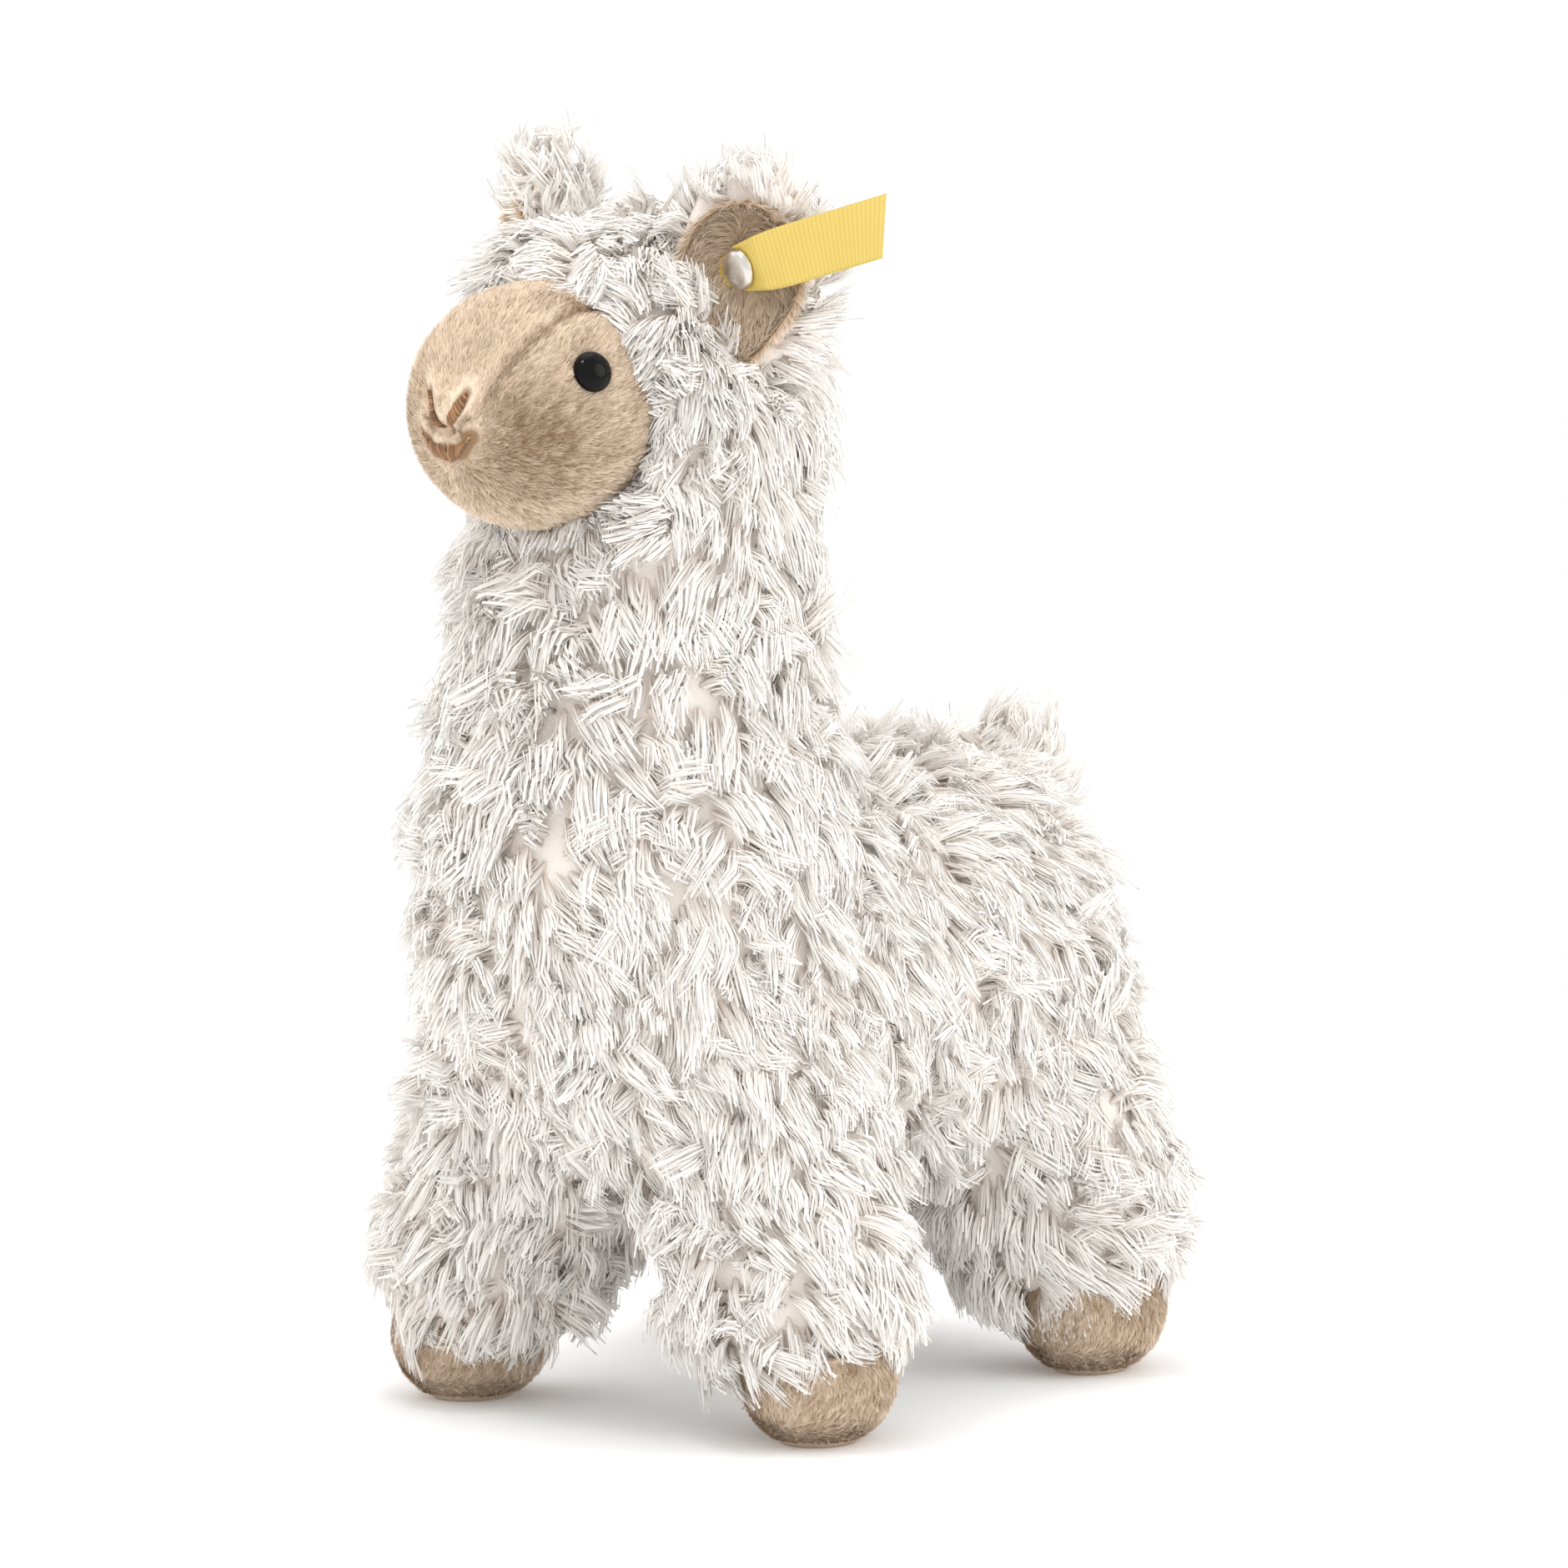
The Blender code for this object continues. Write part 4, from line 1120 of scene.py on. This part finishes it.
class LLAMA_OT_face(bpy.types.Operator):
    """Makes the face's three sewn panels and their nap"""

    bl_idname = "llama.face"
    bl_label = "Face"

    def execute(self, context):
        rng = np.random.default_rng(context.scene.llama_pile.seed + 2)
        nose_out = Matrix.Rotation(math.radians(90), 4, "X")
        radii = (FACE_RADII[0], FACE_RADII[2], FACE_RADII[1])
        whole = ball(nose_out, radii, (168, 112))
        back = Matrix.Rotation(FACE_RIM_LEAN, 3, "X") @ Vector((0, 1, 0))
        cut_off(whole, back * FACE_RIM_BACK, back)
        whole = steady(whole)
        whole.verts.ensure_lookup_table()
        whole.faces.ensure_lookup_table()
        centres = np.array([f.calc_center_median() for f in whole.faces])
        panel = face_panel_of(centres)
        seam = np.concatenate(seam_lines()[:2])
        for vert, gap, k in zip(whole.verts, *nearest([v.co for v in whole.verts], seam)):
            kinds = {int(panel[f.index]) for f in vert.link_faces}
            if 0 in kinds and len(kinds) > 1 and vert.co.z > 0.002 and gap < 0.9 * MM:
                vert.co = seam[k]
        local = np.array([v.co for v in whole.verts])
        for vert, spot in zip(whole.verts, sewn(local)):
            vert.co = FACE @ Vector(spot)
        pieces = []
        for number, (name, node) in enumerate(PANELS):
            bm = whole.copy()
            bm.faces.ensure_lookup_table()
            other = [f for f in bm.faces if panel[f.index] != number]
            bmesh.ops.delete(bm, geom=other, context="FACES")
            made = bmesh.ops.extrude_edge_only(bm, edges=open_edges(bm))["geom"]
            inner = [g for g in made if isinstance(g, bmesh.types.BMVert)]
            for vert in inner:
                vert.co = vert.co.lerp(FACE.translation, 0.12)
            bmesh.ops.holes_fill(bm, edges=open_edges(bm), sides=0)
            bmesh.ops.recalc_face_normals(bm, faces=bm.faces)
            piece = new_piece(name, steady(bm), sand_cloth)
            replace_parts(piece, node)
            pieces.append(piece)
        whole.free()
        centre = np.array(FACE.translation)
        nose = np.array(FACE @ Vector((0, -FACE_RADII[1], -0.004)))

        def way_of(spots, out):
            return unit(spots - nose) + np.array((0, 0, 0.15))

        def mask(spots, out):
            _, local = inside(spots, FACE, FACE_RADII)
            free = ((spots - centre) * out).sum(1) > 0.012
            for _, side in SIDES:
                eye = np.array(eye_place(side).translation)
                free &= np.linalg.norm(spots - eye, axis=1) > EYE_RADIUS
            free &= local[:, 1] < FACE_RIM_BACK + 0.004
            return free & (from_stitches(local) > 0)

        def from_stitches(local):
            """How far beyond the nose's stitches each point lies."""
            gap = np.full(len(local), 1.0)
            front = np.flatnonzero(local[:, 1] < -0.018)
            for line, bare, _ in STITCHED:
                near, _ = nearest(local[front], CREASES[line][0])
                gap[front] = np.minimum(gap[front], near - bare * MM)
            return gap

        def length_of(spots):
            _, local = inside(spots, FACE, FACE_RADII)
            return np.clip(0.3 + from_stitches(local) / (4 * MM), 0.3, 1)

        def tone_of(spots):
            # Painted light and shade of the face's cloth and nap, by place.
            _, local = inside(spots, FACE, FACE_RADII)
            x, y, z = np.abs(local[:, 0]), local[:, 1], local[:, 2]
            strip = face_panel_of(local) == 0
            low = np.hypot(np.hypot(x - 0.0155, y + 0.0180), z + 0.004)
            back = np.hypot(x - 0.011, y - 0.001)
            # Painted light: the forehead strip lighter than the cheeks, and the cheeks lighter
            # toward the top.
            tone = np.where(strip, 0.30, 0.08 + 0.06 * z / FACE_RADII[2])
            # Painted light: lighter on the chin.
            tone = tone + 0.28 * np.clip(-z / FACE_RADII[2] - 0.35, 0, 0.5) / 0.5
            # Painted shade: darker in the middle of the cheek.
            tone = tone - np.where(strip, 0, 0.34) * bell(low, 0.011)
            # Painted shadow: darker on the strip at the hairline, under the fringe.
            tone = tone - np.where(strip, 0.55, 0) * bell(back, 0.007)
            gap, _ = nearest(local, seam)
            # Painted shade in the seam, and painted light on the cloth puffed out beside it.
            tone = tone - 0.6 * bell(gap, 0.8 * MM) + 0.12 * bell(gap - 2.6 * MM, 1.5 * MM)
            # Painted highlight: lighter on the front of the nose.
            tone = tone + np.where(y < 0, 0.30 * bell(np.hypot(x, z - 0.002), 0.0085, 4), 0)
            # Painted shade: darker in the creases beside the nose's stitches.
            for line, _, width in STITCHED:
                gap, _ = nearest(local, CREASES[line][0])
                tone = tone - 0.9 * bell(gap, width * MM, 4)
            return tone

        # The cloth and its nap both take this painted light and shade.
        for piece, (name, _) in zip(pieces, PANELS):
            set_attribute(piece.data, "shade", tone_of(points_of(piece.data)))
            grow_nap(f"{name}_nap", piece, way_of, rng, mask, length_of, tone_of=tone_of)
        return {"FINISHED"}


# ---------------------------------------------------------------- feet, ears


class LLAMA_OT_feet(bpy.types.Operator):
    """Makes the four round feet with flat soles, and their nap"""

    bl_idname = "llama.feet"
    bl_label = "Feet"

    def execute(self, context):
        rng = np.random.default_rng(context.scene.llama_pile.seed + 3)
        for node, place in FEET.items():
            bm = ball(place, FOOT_RADII, (72, 44))
            cut_off(bm, (0, 0, FOOT_RIM), UP)
            bmesh.ops.holes_fill(bm, edges=open_edges(bm), sides=0)
            for vert in bm.verts:
                if vert.co.z < SOLE_TOP:
                    vert.co.z = 0.0
            bmesh.ops.recalc_face_normals(bm, faces=bm.faces)
            piece = new_piece(f"{node}_cover", steady(bm), sand_cloth)
            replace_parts(piece, node)
            middle = np.array(place.translation)

            def way_of(spots, out, middle=middle):
                return np.array((0, 0, -0.6)) + unit(spots - middle) * (1, 1, 0)

            def mask(spots, out):
                return (spots[:, 2] > 0.9 * MM) & (spots[:, 2] < FOOT_RIM - 0.2 * MM)

            nap = grow_nap(f"{node}_nap", piece, way_of, rng, mask, 0.9, 0.45)
            points = points_of(nap.data)
            points[:, 2] = np.maximum(points[:, 2], 0.1 * MM)
            set_points(nap.data, points)
        return {"FINISHED"}


class LLAMA_OT_ear_linings(bpy.types.Operator):
    """Makes the short-napped lining of each ear"""

    bl_idname = "llama.ear_linings"
    bl_label = "Ear linings"

    def execute(self, context):
        rng = np.random.default_rng(context.scene.llama_pile.seed + 4)
        for label, side in SIDES:
            place = ear_place(side)
            dish = Matrix.Translation((0, 0, EAR_RADII[2]))
            bm = ball(dish, LINING_RADII, (72, 48))
            cut_off(bm, (0, 0, EAR_RADII[2] - 0.6 * MM), UP)
            bm = steady(bm)
            bmesh.ops.reverse_faces(bm, faces=bm.faces)
            bmesh.ops.solidify(bm, geom=bm.faces[:], thickness=1.0 * MM)
            bmesh.ops.recalc_face_normals(bm, faces=bm.faces)
            local = np.array([v.co for v in bm.verts])
            _, pinch, rise = lining_outline(local)
            local[:, :2] *= np.stack((pinch, rise), 1)
            low, _, _ = lining_outline(local)
            local[:, 2] -= 0.9 * MM * bell(local[:, 0], 1.6 * MM) * low
            if side > 0:
                x, y = local[:, 0], local[:, 1] - 0.002
                local[:, 2] += 0.35 * x * bell(np.hypot(x, y), 7 * MM)
            for vert, spot in zip(bm.verts, local):
                vert.co = place @ Vector(spot)
            piece = new_piece(f"ear_lining_{label}_cloth", steady(bm), sand_cloth)
            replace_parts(piece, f"ear_lining_{label}")
            face_out = np.array(place.to_3x3() @ UP)
            down = np.array(place.to_3x3() @ Vector((0, -1, 0)))

            middle = np.array(place.translation)

            def way_of(spots, out, middle=middle, down=down):
                return unit(spots - middle) + 0.9 * down

            def mask(spots, out, face_out=face_out):
                return (out @ face_out) > 0.02

            def tone_of(spots, middle=middle, down=down):
                return np.clip((spots - middle) @ down / 0.010, -0.2, 1) * 0.16 + 0.32

            grow_nap(f"ear_lining_{label}_nap", piece, way_of, rng, mask, 1.5, 0.8, tone_of)
        return {"FINISHED"}


# ---------------------------------------------------------------- eyes and thread


class LLAMA_OT_eyes(bpy.types.Operator):
    """Turns the two domed eyes, and finishes the washers behind them"""

    bl_idname = "llama.eyes"
    bl_label = "Eyes"

    def execute(self, context):
        radius, rise, back = EYE_RADIUS, 2.6 * MM, -0.9 * MM
        arc = [(radius * math.sin(math.pi / 2 * i / 16), rise * math.cos(math.pi / 2 * i / 16))
               for i in range(1, 17)]
        profile = [(0, rise), *arc, (radius - 0.1 * MM, back * 0.5), (radius - 0.4 * MM, back),
                   (1.2 * MM, back), (1.2 * MM, -6.6 * MM), (0, -6.6 * MM)]
        for label, side in SIDES:
            dome = steady(turned(profile, eye_place(side)))
            eye = new_piece(f"eye_{label}_dome", dome, black_gloss)
            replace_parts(eye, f"eye_{label}")
            NODES[f"eye_washer_{label}"].material_slots[0].material = kept(clear_plastic)
        return {"FINISHED"}


def thread_template():
    """One straight stitch, one unit long on X and one thick."""
    bm = bmesh.new()
    bmesh.ops.create_cone(bm, cap_ends=True, cap_tris=True, segments=6, radius1=0.5, radius2=0.5,
                          depth=1.0)
    bmesh.ops.rotate(bm, matrix=Matrix.Rotation(math.radians(90), 3, "Y"), verts=bm.verts)
    sides = [e for e in bm.edges if abs((e.verts[0].co - e.verts[1].co).x) > 0.9]
    bmesh.ops.subdivide_edges(bm, edges=sides, cuts=5, use_grid_fill=True)
    layer = bm.loops.layers.uv.new("strands")
    for face in bm.faces:
        for loop in face.loops:
            co = loop.vert.co
            loop[layer].uv = (co.x + 0.5, math.atan2(co.z, co.y) / (2 * math.pi) + 0.5)
    return mesh_of("thread_template", bm)


def stitched_row(name, node, stitches, rng, pale=0.0, proud=0.55 * MM):
    """Satin stitches between pairs of (across, height) points on the nose."""
    trim = bpy.context.scene.llama_trim
    template = thread_template()
    piece = repeated(name, template, len(stitches), brown_thread)
    local = points_of(piece.data).reshape(len(stitches), -1, 3)
    ends = np.array(stitches)
    t = np.clip(local[..., 0] + 0.5, 0, 1)
    flat = ends[:, 0][:, None] * (1 - t[..., None]) + ends[:, 1][:, None] * t[..., None]
    rx, ry, rz = FACE_RADII
    x, z = flat[..., 0], flat[..., 1]
    surface = np.stack((x, -ry * np.sqrt(1 - (x / rx) ** 2 - (z / rz) ** 2), z), -1)
    out = unit(surface / np.array(FACE_RADII) ** 2)
    sunk = sewn(surface.reshape(-1, 3)).reshape(surface.shape)
    run = unit(np.concatenate(
        (ends[:, 1, :1] - ends[:, 0, :1], 0 * ends[:, 0, :1], ends[:, 1, 1:] - ends[:, 0, 1:]), 1
    ))[:, None]
    side = unit(np.cross(out, run))
    taper = np.sqrt(np.clip(1 - (2 * t - 1) ** 8, 0.05, 1))
    arch = np.sin(math.pi * t) * 0.25 * MM
    width = trim.thread_width * (0.9 + 0.3 * rng.random(len(stitches)))[:, None, None]
    points = (
        sunk
        + out * (proud + arch - 0.35 * MM * (1 - np.sin(math.pi * t)))[..., None]
        + side * local[..., 1:2] * width * taper[..., None]
        + out * local[..., 2:] * width * taper[..., None]
    )
    set_attribute(piece.data, "shade",
                  np.repeat(rng.random(len(stitches)) + pale, local.shape[1]))
    set_points(piece.data, moved(points.reshape(-1, 3), FACE))
    bpy.data.meshes.remove(template)
    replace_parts(piece, node)
    return piece


class LLAMA_OT_stitching(bpy.types.Operator):
    """Sews the nostrils and the mouth"""

    bl_idname = "llama.stitching"
    bl_label = "Stitching"

    def execute(self, context):
        rng = np.random.default_rng(context.scene.llama_pile.seed + 5)
        for label, side in SIDES:
            path = np.array(mirrored(NOSTRIL, side))
            rows = 24
            stitches = []
            for i in range(rows):
                t = (i + 0.5) / rows
                spot = np.array([np.interp(t * 2, (0, 1, 2), path[:, k]) for k in (0, 1)])
                ahead = np.array([np.interp(t * 2 + 0.05, (0, 1, 2), path[:, k]) for k in (0, 1)])
                run = unit(ahead - spot) if t < 0.95 else run
                over = np.array((-run[1], run[0]))
                half = 1.25 * MM * math.sin(math.pi * t) ** 0.6
                slant = run * 0.45 * half
                jitter = rng.normal(size=2) * 0.05 * MM
                stitches.append((spot - over * half - slant + jitter,
                                 spot + over * half + slant + jitter))
            stitched_row(f"nostril_{label}_thread", f"nostril_stitch_{label}", stitches, rng, 0.1)
        stitches = []
        rows = 27
        half, corner = MOUTH[-1]
        for i in range(rows):
            x = -half + 2 * half * (i + 0.5) / rows
            far = abs(x) / half
            bottom = -6.3 * MM + (corner + 6.3 * MM) * far ** 2.2
            top = -2.3 * MM + (corner + 2.3 * MM) * far ** 3
            lean = 0.5 * MM * (1 if x > 0 else -1)
            jitter = rng.normal() * 0.10 * MM
            x += NOSE_SHIFT
            stitches.append(((x - lean, bottom + jitter), (x + lean, max(top, bottom + 0.4 * MM))))
        stitched_row("mouth_thread", "mouth_stitch", stitches, rng)
        return {"FINISHED"}


# ---------------------------------------------------------------- ribbon and button


def ribbon_path(lift):
    """Centre line of one ribbon layer, from its tail past the tilted button to the fold."""
    slope = math.tan(BUTTON_TILT)
    knots = [(-TAG_TAIL * 0.9, -0.9), (-TAG_TAIL * 0.45, -0.45), (0.0, 0.0),
             (BUTTON_RADIUS, 0.8), (BUTTON_RADIUS * 1.5, 1.03), (BUTTON_RADIUS * 2.2, 1.12),
             (TAG_REACH * 0.5, 1.1), (TAG_REACH * 0.75, 0.96), (TAG_REACH, 0.75)]
    rise = [share * (TAG_TAIL if share < 0 else BUTTON_RADIUS) * slope for _, share in knots]
    steep = [lift / math.cos(BUTTON_TILT) if x < BUTTON_RADIUS * 1.2 else lift for x, _ in knots]
    return [(x, TAG_FLOOR + up + over) for (x, _), up, over in zip(knots, rise, steep)]


class LLAMA_OT_ear_ribbon(bpy.types.Operator):
    """Folds the plain yellow ribbon under the button"""

    bl_idname = "llama.ear_ribbon"
    bl_label = "Ear ribbon"

    def execute(self, context):
        low, high = ribbon_path(0.0), ribbon_path(TAG_LAYER_RISE)
        turn = 0.5 * TAG_LAYER_RISE
        end_x, end_z = low[-1]
        bend = [(end_x + turn * math.sin(a), end_z + turn - turn * math.cos(a))
                for a in np.linspace(0.3, math.pi - 0.3, 5)]
        corners = np.array(low + bend + high[::-1])
        steps = np.concatenate(([0], np.cumsum(np.linalg.norm(np.diff(corners, axis=0), axis=1))))
        length = steps[-1]
        rows = 150
        bm = bmesh.new()
        bmesh.ops.create_grid(bm, x_segments=rows, y_segments=14, size=0.5, calc_uvs=True)
        layer = bm.loops.layers.uv.verify()
        place = button_place()
        spots = {}
        for vert in bm.verts:
            along = (vert.co.x + 0.5) * length
            x = float(np.interp(along, steps, corners[:, 0]))
            z = float(np.interp(along, steps, corners[:, 1]))
            near = bell(x + 2.0 * MM, 6.0 * MM)
            tail = min(1.0, max(0.0, -x / TAG_TAIL))
            y = vert.co.y * TAG_WIDTH * (1 - 0.24 * near - 0.42 * tail)
            x += y * 0.36 * max(0.0, x / TAG_REACH) ** 2
            crown = 0.25 * MM * math.cos(math.pi * vert.co.y) * (1 - near)
            crease = 0.40 * MM * near * math.cos(3 * math.pi * vert.co.y)
            ripple = 0.20 * MM * math.sin(x * 420) * vert.co.y
            spots[vert] = (vert.co.copy(), along)
            vert.co = place @ Vector((x, y, z + crown + crease + ripple))
        for face in bm.faces:
            for loop in face.loops:
                flat, along = spots[loop.vert]
                loop[layer].uv = (along, flat.y * TAG_WIDTH)
        piece = new_piece("ear_ribbon", bm, yellow_ribbon)
        wall = piece.modifiers.new("cloth", "SOLIDIFY")
        wall.thickness = 0.3 * MM
        wall.offset = 0.0
        settled(piece)
        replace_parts(piece, "ear_tag")
        return {"FINISHED"}


class LLAMA_OT_ear_button(bpy.types.Operator):
    """Turns the plain domed button, and finishes its clasp"""

    bl_idname = "llama.ear_button"
    bl_label = "Ear button"

    def execute(self, context):
        seat = TAG_FLOOR + BUTTON_SEAT
        edge, dome = seat + 0.7 * MM, 1.6 * MM
        steps = 14
        arc = [(BUTTON_RADIUS * math.sin(math.pi / 2 * i / steps),
                edge + dome * math.cos(math.pi / 2 * i / steps) ** 0.7)
               for i in range(1, steps + 1)]
        end = seat - 5 * MM
        profile = [(0, edge + dome), *arc, (BUTTON_RADIUS + 0.12 * MM, edge - 0.25 * MM),
                   (BUTTON_RADIUS, seat), (0.9 * MM, seat), (0.9 * MM, end), (0, end)]
        pivot = Matrix.Translation((0, 0, seat))
        place = button_place() @ pivot @ Matrix.Rotation(-BUTTON_TILT, 4, "Y") @ pivot.inverted()
        head = steady(turned(profile, place))
        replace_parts(new_piece("ear_button_head", head, steel), "ear_button")
        NODES["ear_button_clasp"].material_slots[0].material = kept(steel)
        return {"FINISHED"}


# ---------------------------------------------------------------- stage


CAMERA_AIM = (-0.0005, 0.0057, 0.1232)
SENSOR_WIDTH = 36.0
LAMP_AIM = (0, 0, 0.12)
# Name, place, width and share of the lamp power. The last one makes the dot of light in the eye.
LAMPS = (
    ("lamp_above", (-0.20, 0.15, 1.55), 1.1, 1.0),
    ("lamp_right", (1.35, 0.35, 0.75), 1.1, 1.7),
    ("lamp_left", (-1.25, -0.55, 0.85), 0.9, 0.4),
    ("lamp_eye", (0.017, -0.256, 0.578), 0.09, 0.12),
)


class LLAMA_OT_studio(bpy.types.Operator):
    """Sets the camera, the white floor and the soft light"""

    bl_idname = "llama.studio"
    bl_label = "Studio"

    def execute(self, context):
        scene, studio = context.scene, context.scene.llama_studio
        scene.view_settings.view_transform = "Standard"
        a, e = studio.azimuth, studio.elevation
        back = Vector((math.sin(a) * math.cos(e), -math.cos(a) * math.cos(e), math.sin(e)))
        camera = added("camera", bpy.data.cameras.new("camera"))
        camera.data.sensor_width = SENSOR_WIDTH
        camera.data.lens = SENSOR_WIDTH * studio.distance / studio.span
        camera.data.clip_start, camera.data.clip_end = 0.1, 30.0
        camera.location = Vector(CAMERA_AIM) + back * studio.distance
        camera.rotation_mode = "QUATERNION"
        camera.rotation_quaternion = (-back).to_track_quat("-Z", "Y")
        scene.camera = camera

        world = bpy.data.worlds.new("studio_sky")
        world.use_nodes = True
        scene.world = world
        sky = Finish.__new__(Finish)
        sky.material, sky.tree = world, world.node_tree
        sky.tree.nodes.clear()
        seen = sky.node("ShaderNodeLightPath", output="Is Camera Ray")
        for other in ("Is Glossy Ray", "Is Transmission Ray"):
            seen = seen.maths("MAXIMUM", seen, sky.node("ShaderNodeLightPath", output=other))
        level = seen * (1 - studio.sky_level) + studio.sky_level
        glow = sky.node("ShaderNodeBackground",
                        inputs={"Color": (1, 1, 1, 1), "Strength": level})
        sky.node("ShaderNodeOutputWorld", inputs={"Surface": glow})

        self.floor()
        for name, place, size, share in LAMPS:
            self.lamp(name, place, size, studio.lamp_power * share)
        return {"FINISHED"}

    def floor(self):
        """A white floor that keeps the shadow and fades into the backdrop."""
        f = Finish("studio_floor")
        seen = f.node("ShaderNodeLightPath", output="Is Camera Ray")
        place = f.node("ShaderNodeTexCoord", output="Object")
        far = f.node("ShaderNodeVectorMath", {"operation": "LENGTH"}, {0: place}, 1)
        fade = f.node("ShaderNodeMapRange", {"interpolation_type": "SMOOTHSTEP"},
                      {"Value": far, "From Min": 0.14, "From Max": 0.42})
        lit = f.node("ShaderNodeBsdfDiffuse", inputs={"Color": (0.97, 0.97, 0.97, 1)})
        white = f.node("ShaderNodeEmission", inputs={"Color": (1, 1, 1, 1), "Strength": 1.0})
        lift = f.node("ShaderNodeEmission", inputs={"Color": (1, 1, 1, 1), "Strength": 0.06})
        near = f.node("ShaderNodeAddShader", inputs={0: lit, 1: lift})
        mix = f.node("ShaderNodeMixShader", inputs={0: fade * seen, 1: near, 2: white})
        f.node("ShaderNodeOutputMaterial", inputs={"Surface": mix})
        bm = bmesh.new()
        bmesh.ops.create_circle(bm, cap_ends=True, segments=64, radius=6.0)
        mesh = mesh_of("studio_floor", bm)
        mesh.materials.append(f.material)
        added("studio_floor", mesh)

    def lamp(self, name, place, size, power):
        """A soft round lamp that looks at the llama's middle."""
        light = bpy.data.lights.new(name, "AREA")
        light.shape, light.size, light.energy = "DISK", size, power
        lamp = added(name, light)
        lamp.location = place
        lamp.rotation_mode = "QUATERNION"
        lamp.rotation_quaternion = (Vector(LAMP_AIM) - lamp.location).to_track_quat("-Z", "Y")


# ---------------------------------------------------------------- add-on


STEPS = (
    LLAMA_OT_studio, LLAMA_OT_stuffed_skin, LLAMA_OT_long_pile, LLAMA_OT_tail_and_ear_pile,
    LLAMA_OT_face, LLAMA_OT_feet, LLAMA_OT_ear_linings, LLAMA_OT_eyes, LLAMA_OT_stitching,
    LLAMA_OT_ear_ribbon, LLAMA_OT_ear_button,
)
GROUPS = (
    ("llama_pile", PileSettings), ("llama_nap", NapSettings), ("llama_trim", TrimSettings),
    ("llama_studio", StudioSettings),
)


class LLAMA_PT_steps(bpy.types.Panel):
    """The llama's steps in the sidebar"""

    bl_idname = "LLAMA_PT_steps"
    bl_label = "Plush llama"
    bl_space_type = "VIEW_3D"
    bl_region_type = "UI"
    bl_category = "Llama"

    def draw(self, context):
        for step in STEPS:
            self.layout.operator(step.bl_idname)
        for name, group in GROUPS:
            box = self.layout.box()
            for prop in group.__annotations__:
                box.prop(getattr(context.scene, name), prop)


def register():
    for name, group in GROUPS:
        bpy.utils.register_class(group)
        setattr(bpy.types.Scene, name, bpy.props.PointerProperty(type=group))
    for item in (*STEPS, LLAMA_PT_steps):
        bpy.utils.register_class(item)


def unregister():
    for item in reversed((*STEPS, LLAMA_PT_steps)):
        bpy.utils.unregister_class(item)
    for name, group in reversed(GROUPS):
        delattr(bpy.types.Scene, name)
        bpy.utils.unregister_class(group)


def main():
    """Registers the add-on and takes its steps in order."""
    register()
    for step in STEPS:
        module, name = step.bl_idname.split(".")
        getattr(getattr(bpy.ops, module), name)()


if __name__ == "__main__":
    main()
